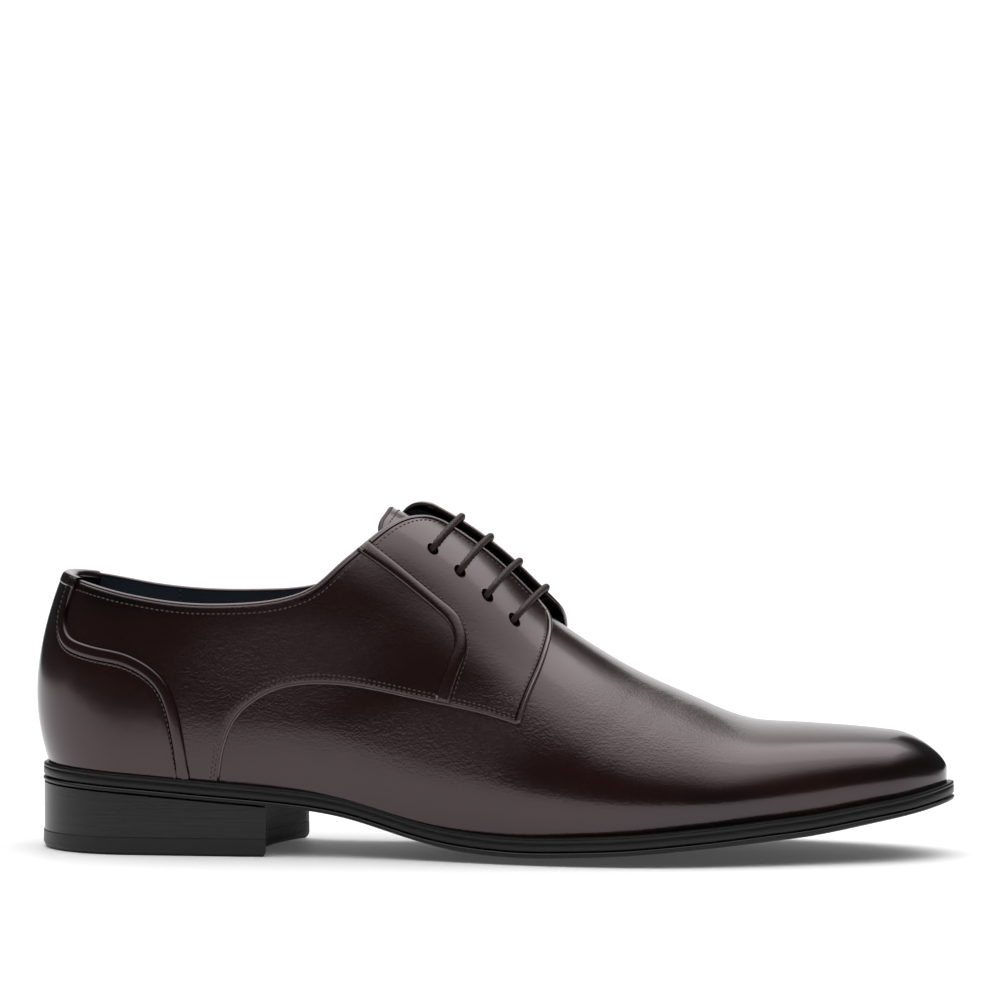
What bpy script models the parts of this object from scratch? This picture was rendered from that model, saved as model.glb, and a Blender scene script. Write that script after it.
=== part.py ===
# A derby shoe for the right foot: hollow upper on a welted sole with a stacked heel.
# X runs from heel to toe, Y from the outer side to the inner side, Z up, all in metres.
from math import cos, hypot, pi, sin

import bmesh
import bpy
import numpy as np
from mathutils import Vector
from mathutils.geometry import delaunay_2d_cdt

MM = 0.001

# Driving sizes of the last and of the shoe on it
LENGTH = 312.5 * MM
HALF_BALL = 49.0 * MM
INSTEP_RISE = 98.3 * MM
HEEL_SEAT = 20.2 * MM
TOE_SPRING = 16.0 * MM
SOLE_EDGE = 9.5 * MM
WALL = 1.8 * MM
QUARTER_STEP = 1.2 * MM
COUNTER_STEP = 1.2 * MM
BAND_STEP = 1.3 * MM
FACING_LIFT = 1.8 * MM
INNER_FACING_LIFT = 3.8 * MM
THROAT_HALF = 8.0 * MM
CLEAR = 0.3 * MM
MIDSOLE = 4.6 * MM
OUTSOLE = 1.4 * MM
CROWN = 3.6 * MM
CROWN_FROM = 0.34
CROWN_GROWS = 0.14
CROWN_FADES = 0.20
FLAT_AT = 178.0 * MM
FLAT_LONG = 10.0 * MM
FLAT_WIDE = 9.0 * MM
FLAT_SIDES = 12
WELT_ROUND = 0.8 * MM
SOLE_ROUND = 0.6 * MM
OUTSOLE_PROUD = 0.2 * MM
TOP_PIECE = 6.0 * MM
TOP_PIECE_ROUND = 1.6 * MM
TOP_PIECE_UNDER = 1.2 * MM
TOP_PIECE_PROUD = 0.1 * MM
HEEL_SHY = 0.2 * MM
BREAST_POINTS = 8
HEEL_ROWS = 6
TIP_ROWS = (0.3, 0.62)
LACE_POINTS = 11
INSOLE = 3.0 * MM
TONGUE_WALL = 1.6 * MM
TONGUE_CLEAR = 0.7 * MM
EYELET_RADIUS = 2.0 * MM
LACE_RADIUS = 1.1 * MM
LACE_BOW = 4.5 * MM
LACE_SHARE = 0.93
BREAST_OUTER = 83.0 * MM
BREAST_INNER = 88.0 * MM
BREAST_HOLLOW = 6.0 * MM

# Shape of the back of the heel and of the toe, on the last
HEEL_REACH = 34.0 * MM
HEEL_ARC = 52.0 * MM
BACK_HEIGHT = 53.0 * MM
BACK_MOST = 0.7 * MM
BACK_CURVE = 133.3 * MM
BACK_EASE = 120.0 * MM
TOE_NOSE = 18.1 * MM
TOE_FROM = 0.9344 * LENGTH
TOE_ARC = 26.0 * MM
TIP_RISE = 4.6 * MM
TIP_POWER = 1.4
TUCK_SHARE = 0.35
TOE_AT = HEEL_ARC + TOE_FROM - HEEL_REACH
SPAN = TOE_AT + TOE_ARC
GIRTH = 85.0 * MM

# Cross sections of the last: "along" is a share of the length, "pitch" of the heel seat,
# "spring" of the toe spring, "rise" of the instep rise and the rest of half the ball width.
COLUMNS = (
    "along", "pitch", "spring", "rise", "outer", "inner", "ridge", "tuck", "outer_square", "inner_square",
)
SECTIONS = (
    (0.000, 1.000, 0.00, 1.200, 0.582, 0.582, 0.000, 0.030, 0.05, 0.05),
    (0.064, 0.950, 0.00, 1.190, 0.596, 0.596, 0.000, 0.030, 0.05, 0.05),
    (0.128, 0.880, 0.00, 1.175, 0.612, 0.608, 0.000, 0.032, 0.05, 0.05),
    (0.192, 0.800, 0.00, 1.155, 0.622, 0.604, 0.010, 0.036, 0.05, 0.06),
    (0.272, 0.700, 0.00, 1.115, 0.637, 0.588, 0.030, 0.045, 0.05, 0.08),
    (0.352, 0.525, 0.00, 1.058, 0.698, 0.567, 0.051, 0.051, 0.04, 0.12),
    (0.432, 0.190, 0.00, 1.008, 0.786, 0.602, 0.071, 0.055, 0.03, 0.15),
    (0.512, 0.020, 0.00, 0.858, 0.894, 0.710, 0.082, 0.058, 0.03, 0.12),
    (0.550, 0.000, 0.00, 0.745, 0.945, 0.786, 0.082, 0.060, 0.03, 0.10),
    (0.592, 0.000, 0.02, 0.643, 0.980, 0.857, 0.082, 0.061, 0.03, 0.08),
    (0.656, 0.000, 0.08, 0.513, 1.000, 0.949, 0.082, 0.061, 0.03, 0.06),
    (0.720, 0.000, 0.19, 0.403, 0.955, 0.976, 0.090, 0.058, 0.04, 0.05),
    (0.752, 0.000, 0.25, 0.349, 0.905, 0.958, 0.095, 0.055, 0.05, 0.06),
    (0.784, 0.000, 0.32, 0.309, 0.843, 0.925, 0.100, 0.052, 0.07, 0.07),
    (0.816, 0.000, 0.39, 0.291, 0.770, 0.875, 0.100, 0.048, 0.08, 0.08),
    (0.848, 0.000, 0.46, 0.275, 0.690, 0.812, 0.100, 0.044, 0.09, 0.09),
    (0.912, 0.000, 0.66, 0.229, 0.510, 0.653, 0.100, 0.038, 0.10, 0.10),
    (0.960, 0.000, 0.82, 0.189, 0.367, 0.510, 0.098, 0.032, 0.10, 0.10),
    (1.000, 0.000, 1.00, 0.158, 0.255, 0.400, 0.095, 0.026, 0.10, 0.10),
)

# How far the sole's edge stands out from the upper's lower edge, as shares of half the ball width
EDGE_COLUMNS = ("along", "outer", "inner")
EDGE = (
    (0.00, 0.090, 0.090),
    (0.10, 0.062, 0.062),
    (0.28, 0.052, 0.048),
    (0.35, 0.020, 0.000),
    (0.44, 0.030, -0.010),
    (0.55, 0.064, 0.040),
    (0.68, 0.074, 0.066),
    (0.85, 0.066, 0.062),
    (0.95, 0.056, 0.056),
    (1.00, 0.048, 0.048),
)

# Seams on the upper: "along" is a share of its span from heel to toe, "up" of its height
# from the lower edge to the ridge line
COLLAR = (
    (0.000, 0.365), (0.079, 0.359), (0.149, 0.346), (0.205, 0.341), (0.272, 0.360), (0.323, 0.401),
    (0.350, 0.450), (0.372, 0.526), (0.395, 0.620), (0.4126, 0.706), (0.4226, 0.757), (0.4338, 0.812),
    (0.4451, 0.860), (0.456, 0.892), (0.467, 0.905),
)
COLLAR_INNER = (
    (0.000, 0.365), (0.079, 0.360), (0.149, 0.350), (0.205, 0.352), (0.272, 0.373), (0.323, 0.409),
    (0.350, 0.455), (0.372, 0.529), (0.395, 0.624), (0.413, 0.730), (0.427, 0.835), (0.446, 0.905),
)
QUARTER_FOOT = (
    (0.250, 0.000), (0.254, 0.051), (0.265, 0.114), (0.284, 0.160), (0.310, 0.196), (0.340, 0.220),
    (0.416, 0.256), (0.498, 0.292), (0.557, 0.327),
)
QUARTER_FRONT = ((0.557, 0.327), (0.568, 0.467), (0.575, 0.569), (0.578, 0.675), (0.577, 0.787), (0.571, 0.905))
THROAT_NOSE = 0.584
LIFT_ALONG = (0.385, 0.440)
LIFT_UP = (0.500, 0.720)
LIFT_WITHIN = (0.515, 0.563)
COUNTER = (
    (0.0790, 0.3590), (0.0755, 0.3300), (0.0738, 0.2960), (0.0780, 0.2680), (0.0890, 0.2470), (0.1040, 0.2385),
    (0.1280, 0.2325), (0.1560, 0.2265), (0.1740, 0.2145), (0.1900, 0.1955), (0.2020, 0.1680), (0.2090, 0.1380),
    (0.2155, 0.0860), (0.2222, 0.0000),
)
BAND_BACK = (
    (0.3880, 0.5930), (0.4180, 0.5660), (0.4500, 0.5360), (0.4745, 0.5125), (0.4865, 0.4910), (0.4907, 0.4570),
    (0.4880, 0.4120), (0.4800, 0.3400), (0.4715, 0.2805),
)
BAND_FRONT = (
    (0.3982, 0.6370), (0.4180, 0.6120), (0.4360, 0.5920), (0.4570, 0.5710), (0.4780, 0.5535), (0.4925, 0.5380),
    (0.5000, 0.5100), (0.5032, 0.4730), (0.5020, 0.4320), (0.4965, 0.3760), (0.4880, 0.2876),
)
EYELETS = ((0.461, 0.715), (0.489, 0.690), (0.517, 0.670), (0.544, 0.662))
EYELET_SIDES = 8
TONGUE = (
    (0.417, 1.000), (0.415, 0.860), (0.411, 0.740), (0.418, 0.670), (0.450, 0.625), (0.520, 0.600),
    (0.600, 0.640), (0.625, 0.800), (0.630, 1.000),
)

# How finely the curved walls are faceted
UPPER_STEP = 7.2 * MM
FREE_SHARE = 0.55
SIDE_POINTS = 120
NEAR = 0.4 * MM
NEAR_UP = 0.004
SAME_SPOT = 1e-7
TINY = 1e-9
SEAM_STEP = 6.0 * MM
SOLE_STEP = 10.5 * MM
EDGE_STEP = 6.0 * MM


def spline(knots, values):
    """A natural cubic through the rows of one column."""
    x = np.asarray(knots, float)
    y = np.asarray(values, float)
    count = len(x)
    gap = np.diff(x)
    system = np.eye(count)
    right = np.zeros(count)
    for i in range(1, count - 1):
        system[i, i - 1:i + 2] = gap[i - 1], 2 * (gap[i - 1] + gap[i]), gap[i]
        right[i] = 6 * ((y[i + 1] - y[i]) / gap[i] - (y[i] - y[i - 1]) / gap[i - 1])
    bend = np.linalg.solve(system, right)

    def value(place):
        place = np.clip(place, x[0], x[-1])
        i = np.clip(np.searchsorted(x, place, side="right") - 1, 0, count - 2)
        t = place - x[i]
        g = gap[i]
        slope = (y[i + 1] - y[i]) / g - g * (2 * bend[i] + bend[i + 1]) / 6
        return y[i] + t * slope + t * t * bend[i] / 2 + t ** 3 * (bend[i + 1] - bend[i]) / (6 * g)

    return value


def columns(names, rows):
    return {name: spline([row[0] for row in rows], [row[k] for row in rows]) for k, name in enumerate(names)}


SECTION = columns(COLUMNS, SECTIONS)
SOLE_OUT = columns(EDGE_COLUMNS, EDGE)


def back(z):
    """The heel's back line: the place along X at each height."""
    above = z - BACK_HEIGHT
    return BACK_MOST + above * above / BACK_CURVE / (1 + np.clip(above, 0, None) / BACK_EASE)


def foot(x):
    """Height of the upper's lower edge."""
    share = x / LENGTH
    return SOLE_EDGE + HEEL_SEAT * SECTION["pitch"](share) + TOE_SPRING * SECTION["spring"](share)


def form(side, along, up):
    """The last's surface on one side; along in metres from the heel's back, up from 0 to 1."""
    heel_turn = np.clip(along / HEEL_ARC, 0, 1) * pi / 2
    toe_turn = np.clip((along - TOE_AT) / TOE_ARC, 0, 1) * pi / 2
    turn = up * pi / 2
    in_heel = along < HEEL_ARC
    middle = HEEL_REACH + np.clip(along - HEEL_ARC, 0, TOE_FROM - HEEL_REACH) + TOE_NOSE * np.sin(toe_turn)
    base = np.where(in_heel, HEEL_REACH - (HEEL_REACH - back(foot(0.0))) * np.cos(heel_turn), middle)
    share = base / LENGTH
    rise = TIP_RISE + (INSTEP_RISE * SECTION["rise"](share) - TIP_RISE) * np.cos(toe_turn) ** TIP_POWER
    z = foot(base) + rise * np.sin(turn)
    x = np.where(in_heel, HEEL_REACH - (HEEL_REACH - back(z)) * np.cos(heel_turn), middle)
    outer = side < 0
    ridge = HALF_BALL * SECTION["ridge"](share)
    half = np.where(outer, HALF_BALL * SECTION["outer"](share) + ridge, HALF_BALL * SECTION["inner"](share) - ridge)
    square = np.where(outer, SECTION["outer_square"](share), SECTION["inner_square"](share))
    tuck = HALF_BALL * SECTION["tuck"](share) * np.clip(1 - np.sin(turn) / TUCK_SHARE, 0, 1) ** 2
    bulge = np.cos(turn) + square * (np.cos(turn) - np.cos(3 * turn))
    y = ridge + side * (half * bulge - tuck) * np.sin(heel_turn) * np.cos(toe_turn)
    return np.stack([x, y, z], -1)


def on_last(side, along, up):
    """The last's surface, carried on past the heel's back, the ridge and the toe's tip."""
    side, along, up = np.broadcast_arrays(np.asarray(side, float), np.asarray(along, float), np.asarray(up, float))
    crossed = (along < 0) ^ (along > SPAN) ^ (up > 1)
    side = np.where(crossed, -side, side)
    along = np.where(along > SPAN, 2 * SPAN - along, np.abs(along))
    up = np.where(up > 1, 2 - up, up)
    return form(side, along, np.clip(up, 0, 1))


def outward(side, along, up):
    """Unit normals of the last's surface."""
    side, along, up = np.broadcast_arrays(np.asarray(side, float), np.asarray(along, float), np.asarray(up, float))
    reach = NEAR
    lift = NEAR_UP
    lower = np.maximum(up - lift, 0)
    forward = on_last(side, along + reach, up) - on_last(side, along - reach, up)
    upward = on_last(side, up=up + lift, along=along) - on_last(side, up=lower, along=along)
    normal = np.cross(forward, upward) * (-side)[..., None]
    size = np.linalg.norm(normal, axis=-1, keepdims=True)
    pole = np.array([1.0, 0.0, 1.0]) / np.sqrt(2)
    return np.where(size > TINY ** 2, normal / np.maximum(size, TINY ** 2), pole)


def skin(places, offset):
    """Points at an offset from the last, for places (metres along, metres across from the ridge)."""
    places = np.asarray(places, float)
    side = np.where(places[:, 1] < 0, -1.0, 1.0)
    up = 1 - np.abs(places[:, 1]) / GIRTH
    offset = np.asarray(offset, float)
    spots = on_last(side, places[:, 0], up) + outward(side, places[:, 0], up) * offset[..., None]
    spots[:, 2] = np.maximum(spots[:, 2], foot(spots[:, 0]))
    return spots


def ease(value, start, end):
    """A smooth share from 0 at the start to 1 at the end."""
    share = np.clip((value - start) / (end - start), 0, 1)
    return share * share * (3 - 2 * share)


def facing_lift(places, within=False):
    """How far the facings stand over the tongue; within, it ends before the vamp's edge."""
    along, height = places[:, 0] / SPAN, 1 - np.abs(places[:, 1]) / GIRTH
    most = FACING_LIFT + (INNER_FACING_LIFT - FACING_LIFT) * ease(places[:, 1], -THROAT_HALF, THROAT_HALF)
    lift = most * ease(along, *LIFT_ALONG) * ease(height, *LIFT_UP)
    return lift * (1 - ease(along, *LIFT_WITHIN)) if within else lift


def across(side, rows):
    """Turns (along, up) shares of one side into places on the flat pattern."""
    return [(along * SPAN, side * (1 - up) * GIRTH) for along, up in rows]


def smooth(points, step):
    """A curve through the points, cut into stretches of about one step."""
    points = np.asarray(points, float)
    gaps = np.hypot(*np.diff(points, axis=0).T)
    reach = np.concatenate([[0], np.cumsum(gaps)])
    count = max(2, round(reach[-1] / step))
    spots = np.linspace(0, reach[-1], count + 1)
    curve = np.stack([spline(reach, points[:, k])(spots) for k in (0, 1)], -1)
    return [tuple(spot) for spot in curve]


def inside(places, loop):
    """Which places lie inside a closed loop."""
    places = np.asarray(places, float)
    x, y = places[:, 0], places[:, 1]
    hit = np.zeros(len(places), bool)
    for (x0, y0), (x1, y1) in zip(loop, loop[1:] + loop[:1]):
        if y0 == y1:
            continue
        crosses = (y0 > y) != (y1 > y)
        hit ^= crosses & (x < x0 + (y - y0) * (x1 - x0) / (y1 - y0))
    return hit


def spacing(places, loop):
    """Distance from each place to the nearest edge of a loop or line."""
    places = np.asarray(places, float)
    nearest = np.full(len(places), 1.0)
    for start, end in zip(loop[:-1], loop[1:]):
        start = np.asarray(start)
        run = np.asarray(end) - start
        share = np.clip(((places - start) @ run) / max(run @ run, TINY ** 2), 0, 1)
        nearest = np.minimum(nearest, np.linalg.norm(places - start - share[:, None] * run, axis=1))
    return nearest


def triangulate(loop, lines, step):
    """Triangles inside a loop, with each line kept as edges, and their places."""
    low = np.min(loop, axis=0)
    high = np.max(loop, axis=0)
    columns_of = np.arange(low[0] + step / 2, high[0], step)
    rows_of = np.arange(low[1] + step / 2, high[1], step)
    grid = []
    for number, x in enumerate(columns_of):
        shift = step / 2 if number % 2 else 0.0
        grid.extend((x, y + shift) for y in rows_of)
    grid = np.array(grid)
    keep = inside(grid, loop)
    for line in [loop + loop[:1]] + lines:
        keep &= spacing(grid, line) > FREE_SHARE * step
    places = [Vector(place) for place in loop]
    edges = [(i, (i + 1) % len(loop)) for i in range(len(loop))]
    index = {tuple(round(c, 7) for c in place): i for i, place in enumerate(loop)}
    for line in lines:
        numbers = []
        for place in line:
            key = tuple(round(c, 7) for c in place)
            if key not in index:
                index[key] = len(places)
                places.append(Vector(place))
            numbers.append(index[key])
        edges.extend(zip(numbers[:-1], numbers[1:]))
    places.extend(Vector(place) for place in grid[keep])
    spots, _, faces, *_ = delaunay_2d_cdt(places, edges, [], 0, SAME_SPOT)
    spots = [tuple(spot) for spot in spots]
    middles = [np.mean([spots[i] for i in face], axis=0) for face in faces]
    kept = inside(middles, loop)
    return spots, [list(face) for face, good in zip(faces, kept) if good]


def same_place(place):
    """A key that joins the two sides at the heel's back line and at the toe's tip."""
    along, side = place
    if along < SAME_SPOT or along > SPAN - SAME_SPOT:
        side = abs(side)
    return round(along, 7), round(side, 7)


def layered(name, spots, faces, levels, floor, material, lifted=False):
    """A wall over the last: each face at its own level outside, and all at one level inside."""
    keys = {}
    number = [keys.setdefault(same_place(spot), len(keys)) for spot in spots]
    first = {}
    for spot, key in zip(spots, number):
        first.setdefault(key, spot)
    faces = [[number[i] for i in face] for face in faces]
    heights = {}
    for face, level in zip(faces, levels):
        for corner in face:
            heights.setdefault(corner, {floor}).add(level)
    points = [(corner, level) for corner in heights for level in sorted(heights[corner])]
    flat_places = np.array([first[corner] for corner, _ in points])
    offsets = np.array([level for _, level in points])
    if lifted:
        raised = np.where(offsets >= QUARTER_STEP, facing_lift(flat_places), 0.0)
        offsets = offsets + np.where(offsets < 0, facing_lift(flat_places, within=True), raised)
    place_of = skin(flat_places, offsets)
    mesh = bmesh.new()
    verts = {point: mesh.verts.new(place) for point, place in zip(points, place_of)}
    sides = {}
    for face, level in zip(faces, levels):
        mesh.faces.new([verts[corner, level] for corner in face])
        mesh.faces.new([verts[corner, floor] for corner in reversed(face)])
        for start, end in zip(face, face[1:] + face[:1]):
            sides.setdefault(frozenset((start, end)), []).append((start, end, level))
    for uses in sides.values():
        uses.sort(key=lambda use: -use[2])
        start, end, top = uses[0]
        bottom = uses[1][2] if len(uses) > 1 else floor
        if top - bottom < TINY:
            continue
        steps_end = [level for level in sorted(heights[end]) if bottom <= level <= top]
        steps_start = [level for level in sorted(heights[start], reverse=True) if bottom <= level <= top]
        mesh.faces.new([verts[start, level] for level in steps_start] + [verts[end, level] for level in steps_end])
    return finish(name, mesh, material)


def finish(name, mesh, material):
    """Makes the object of a mesh, faces out and shaded smooth but for its sharp edges."""
    bmesh.ops.triangulate(mesh, faces=mesh.faces[:])
    bmesh.ops.recalc_face_normals(mesh, faces=mesh.faces[:])
    data = bpy.data.meshes.new(name)
    mesh.to_mesh(data)
    mesh.free()
    data.shade_smooth()
    data.set_sharp_from_angle(angle=pi / 5)
    data.materials.append(material)
    piece = bpy.data.objects.new(name, data)
    bpy.context.scene.collection.objects.link(piece)
    return piece


def finish_material(name, color, roughness):
    material = bpy.data.materials.new(name)
    material.use_nodes = True
    shader = material.node_tree.nodes["Principled BSDF"]
    shader.inputs["Base Color"].default_value = (*color, 1)
    shader.inputs["Roughness"].default_value = roughness
    return material


def collar_line(side):
    """The collar from the heel's back to the facing's top corner; the inner side sits higher."""
    return smooth(across(side, COLLAR_INNER if side > 0 else COLLAR), SEAM_STEP)


def upper_outline():
    """The flat pattern of the whole upper, as one loop, open at the collar and the throat."""
    feather = np.linspace(0, SPAN, round(SPAN / UPPER_STEP) + 1)
    outer_seam = across(-1, QUARTER_FOOT)[0][0]
    counter_seam = across(-1, COUNTER)[-1][0]
    for seam in (outer_seam, counter_seam):
        feather[np.argmin(np.abs(feather - seam))] = seam
    collar_up = COLLAR[0][1]
    heel_rows = np.linspace(0, collar_up, HEEL_ROWS)
    outer = [(along, -GIRTH) for along in feather]
    tip = [(SPAN, -(1 - up) * GIRTH) for up in TIP_ROWS] + [(SPAN, 0.0)]
    tip += [(SPAN, (1 - up) * GIRTH) for up in reversed(TIP_ROWS)]
    inner = [(along, GIRTH) for along in reversed(feather)]
    heel_inner = [(0.0, (1 - up) * GIRTH) for up in heel_rows[1:-1]]
    heel_outer = [(0.0, -(1 - up) * GIRTH) for up in reversed(heel_rows[1:-1])]
    throat_inner = smooth([collar_line(1)[-1], across(1, QUARTER_FRONT)[-1]], SEAM_STEP)
    throat_outer = smooth([across(-1, QUARTER_FRONT)[-1], collar_line(-1)[-1]], SEAM_STEP)
    nose = smooth([throat_inner[-1], (THROAT_NOSE * SPAN, 0.0), throat_outer[0]], SEAM_STEP / 2)
    edge = collar_line(1) + throat_inner[1:] + nose[1:-1] + throat_outer
    edge += list(reversed(collar_line(-1)))[1:]
    return outer + tip + inner + heel_inner + edge + heel_outer


def nearest_on(loop, place):
    return min(loop, key=lambda spot: hypot(spot[0] - place[0], spot[1] - place[1]))


def panels(side, loop):
    """The seams of one side as lines on the pattern, and the loops of its raised panels."""
    foot_line = smooth(across(side, QUARTER_FOOT), SEAM_STEP)
    front_line = smooth(across(side, QUARTER_FRONT), SEAM_STEP)
    counter_line = smooth(across(side, COUNTER), SEAM_STEP)
    counter_line[0] = nearest_on(loop, counter_line[0])
    band_back = smooth(across(side, BAND_BACK), SEAM_STEP)
    band_front = smooth(across(side, BAND_FRONT), SEAM_STEP)
    for band in (band_back, band_front):
        band[0] = nearest_on(loop, band[0])
        band[-1] = nearest_on(foot_line, band[-1])
    beyond = 2 * GIRTH * side
    behind = -LENGTH
    quarter = [(behind, beyond)] + [(foot_line[0][0], beyond)] + foot_line + front_line[1:]
    quarter += [(front_line[-1][0], 0.0), (behind, 0.0)]
    counter = [(behind, 0.0), (counter_line[0][0], 0.0)] + counter_line + [(counter_line[-1][0], beyond)]
    counter += [(behind, beyond)]
    band = band_back + list(reversed(band_front))
    return [foot_line, front_line, counter_line, band_back, band_front], quarter, counter, band


def eyelet_loop(side, row):
    (along, up), = across(side, [row])
    turns = [2 * pi * k / EYELET_SIDES for k in range(EYELET_SIDES)]
    return [(along + EYELET_RADIUS * cos(turn), up + EYELET_RADIUS * sin(turn)) for turn in turns]


def make_upper(material):
    """Vamp, quarters, counter and facing bands as steps of one wall of leather."""
    loop = upper_outline()
    lines = []
    quarters = []
    counters = []
    bands = []
    holes = []
    for side in (-1, 1):
        seams, quarter, counter, band = panels(side, loop)
        lines.extend(seams)
        quarters.append(quarter)
        counters.append(counter)
        bands.append(band)
        holes.extend(eyelet_loop(side, row) for row in EYELETS)
    lines.extend(hole + hole[:1] for hole in holes)
    spots, faces = triangulate(loop, lines, UPPER_STEP)
    middles = np.array([np.mean([spots[i] for i in face], axis=0) for face in faces])
    levels = np.zeros(len(faces))
    side_of = np.where(middles[:, 1] < 0, 0, 1)
    for number in (0, 1):
        here = side_of == number
        levels[here & inside(middles, quarters[number])] = QUARTER_STEP
        levels[here & inside(middles, bands[number])] = QUARTER_STEP + BAND_STEP
        levels[here & inside(middles, counters[number])] = QUARTER_STEP + COUNTER_STEP
    kept = np.ones(len(faces), bool)
    for hole in holes:
        kept &= ~inside(middles, hole)
    faces = [face for face, good in zip(faces, kept) if good]
    return layered("upper", spots, faces, list(levels[kept]), -WALL, material, lifted=True)


def make_tongue(material):
    """A leather tongue under the facings, from the vamp to the top of the throat."""
    outer = smooth(across(-1, TONGUE), SEAM_STEP)
    inner = smooth(across(1, TONGUE), SEAM_STEP)
    loop = outer + list(reversed(inner))[1:-1]
    spots, faces = triangulate(loop, [], UPPER_STEP)
    top = -WALL - TONGUE_CLEAR
    return layered("tongue", spots, faces, [top] * len(faces), top - TONGUE_WALL, material)


def sole_edge(side, along, extra):
    """The sole's outline at a place along the upper, moved out by an extra width."""
    place = on_last(side, along, 0.0)
    ahead = on_last(side, along + MM, 0.0) - on_last(side, along - MM, 0.0)
    out = np.stack([ahead[..., 1], -ahead[..., 0]], -1) * (-side)
    out = out / np.linalg.norm(out, axis=-1, keepdims=True)
    share = np.clip(place[..., 0] / LENGTH, 0, 1)
    column = "outer" if side < 0 else "inner"
    width = HALF_BALL * SOLE_OUT[column](share) + extra
    return place[..., :2] + out * width[..., None]


def sole_loop(extra, start=None, end=None, step=EDGE_STEP):
    """The whole outline as a loop, from the outer side round the toe, or only round the heel."""
    if start is None:
        count = round(SPAN / step)
        along = np.linspace(0, SPAN, count + 1)
        outer = sole_edge(-1, along, extra)
        inner = sole_edge(1, along[::-1], extra)
        return [tuple(spot) for spot in outer] + [tuple(spot) for spot in inner[1:-1]]
    inner = sole_edge(1, np.linspace(end, 0, round(end / step) + 1), extra)
    outer = sole_edge(-1, np.linspace(0, start, round(start / step) + 1), extra)
    return [tuple(spot) for spot in inner] + [tuple(spot) for spot in outer[1:]]


SOLE_SIDES = [sole_edge(side, np.linspace(0, SPAN, SIDE_POINTS), 0.0) for side in (-1, 1)]


def crown(x, y):
    """How much deeper the sole's underside is inside its edge, under the waist and forefoot."""
    outer, inner = (np.interp(x, edge[:, 0], edge[:, 1]) for edge in SOLE_SIDES)
    middle = (outer + inner) / 2
    half = np.maximum((inner - outer) / 2, MM)
    share = np.clip((y - middle) / half, -1, 1)
    starts = np.clip((x / LENGTH - CROWN_FROM) / CROWN_GROWS, 0, 1)
    ends = np.clip((SOLE_SIDES[0][-1, 0] / LENGTH - x / LENGTH) / CROWN_FADES, 0, 1)
    return CROWN * starts * starts * (3 - 2 * starts) * ends * (2 - ends) * (1 - share * share)


def midsole_top(x, y):
    return foot(x) - CLEAR


def midsole_foot(x, y):
    return np.maximum(midsole_top(x, y) - MIDSOLE - crown(x, y), OUTSOLE + CLEAR)


def outsole_top(x, y):
    return midsole_foot(x, y) - CLEAR


def outsole_foot(x, y):
    return outsole_top(x, y) - OUTSOLE


def heel_top(x, y):
    return outsole_foot(x, y) - CLEAR


def flat(height):
    return lambda x, y: np.full(np.shape(x), height)


def inset(loop, distance):
    """Moves a loop that runs anticlockwise inwards."""
    points = np.asarray(loop)
    run = np.roll(points, -1, axis=0) - np.roll(points, 1, axis=0)
    inwards = np.stack([-run[:, 1], run[:, 0]], -1)
    inwards = inwards / np.linalg.norm(inwards, axis=1, keepdims=True)
    return points + inwards * distance


def flat_spot():
    """The closed line round the flat spot that the forefoot stands on."""
    outer, inner = (np.interp(FLAT_AT, edge[:, 0], edge[:, 1]) for edge in SOLE_SIDES)
    turns = [2 * pi * k / FLAT_SIDES for k in range(FLAT_SIDES)]
    spot = [(FLAT_AT + FLAT_LONG * cos(turn), (outer + inner) / 2 + FLAT_WIDE * sin(turn)) for turn in turns]
    return spot + spot[:1]


def slab(name, loop, top, bottom, rings, material, lines=()):
    """A plate with an outline; each ring of its edge is (inset, "top" or "foot", distance from it)."""
    first = [tuple(spot) for spot in inset(loop, rings[0][0])]
    spots, faces = triangulate(first, list(lines), SOLE_STEP)
    spots = np.array(spots)
    count = len(loop)
    mesh = bmesh.new()
    rows = []
    for back_in, face, distance in rings:
        edge = inset(loop, back_in)
        if face == "top":
            z = top(edge[:, 0], edge[:, 1]) - distance
        else:
            z = bottom(edge[:, 0], edge[:, 1]) + distance
        rows.append([mesh.verts.new((x, y, h)) for (x, y), h in zip(edge, z)])
    middle = spots[count:]
    tops = rows[0] + [mesh.verts.new((x, y, h)) for (x, y), h in zip(middle, top(middle[:, 0], middle[:, 1]))]
    feet = rows[-1] + [mesh.verts.new((x, y, h)) for (x, y), h in zip(middle, bottom(middle[:, 0], middle[:, 1]))]
    for face in faces:
        mesh.faces.new([tops[i] for i in face])
        mesh.faces.new([feet[i] for i in reversed(face)])
    for upper_row, lower_row in zip(rows[:-1], rows[1:]):
        for i in range(count):
            j = (i + 1) % count
            mesh.faces.new([upper_row[j], upper_row[i], lower_row[i], lower_row[j]])
    return finish(name, mesh, material)


def heel_loop(extra):
    """The heel's outline: round the back and across the hollow breast."""
    start = HEEL_ARC + BREAST_OUTER - HEEL_REACH
    end = HEEL_ARC + BREAST_INNER - HEEL_REACH
    loop = sole_loop(extra, start, end)
    (x0, y0), (x1, y1) = loop[-1], loop[0]
    share = np.linspace(0, 1, BREAST_POINTS + 1)[1:-1]
    hollow = BREAST_HOLLOW * 4 * share * (1 - share)
    breast = [(x0 + (x1 - x0) * s - h, y0 + (y1 - y0) * s) for s, h in zip(share, hollow)]
    return loop + breast


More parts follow.
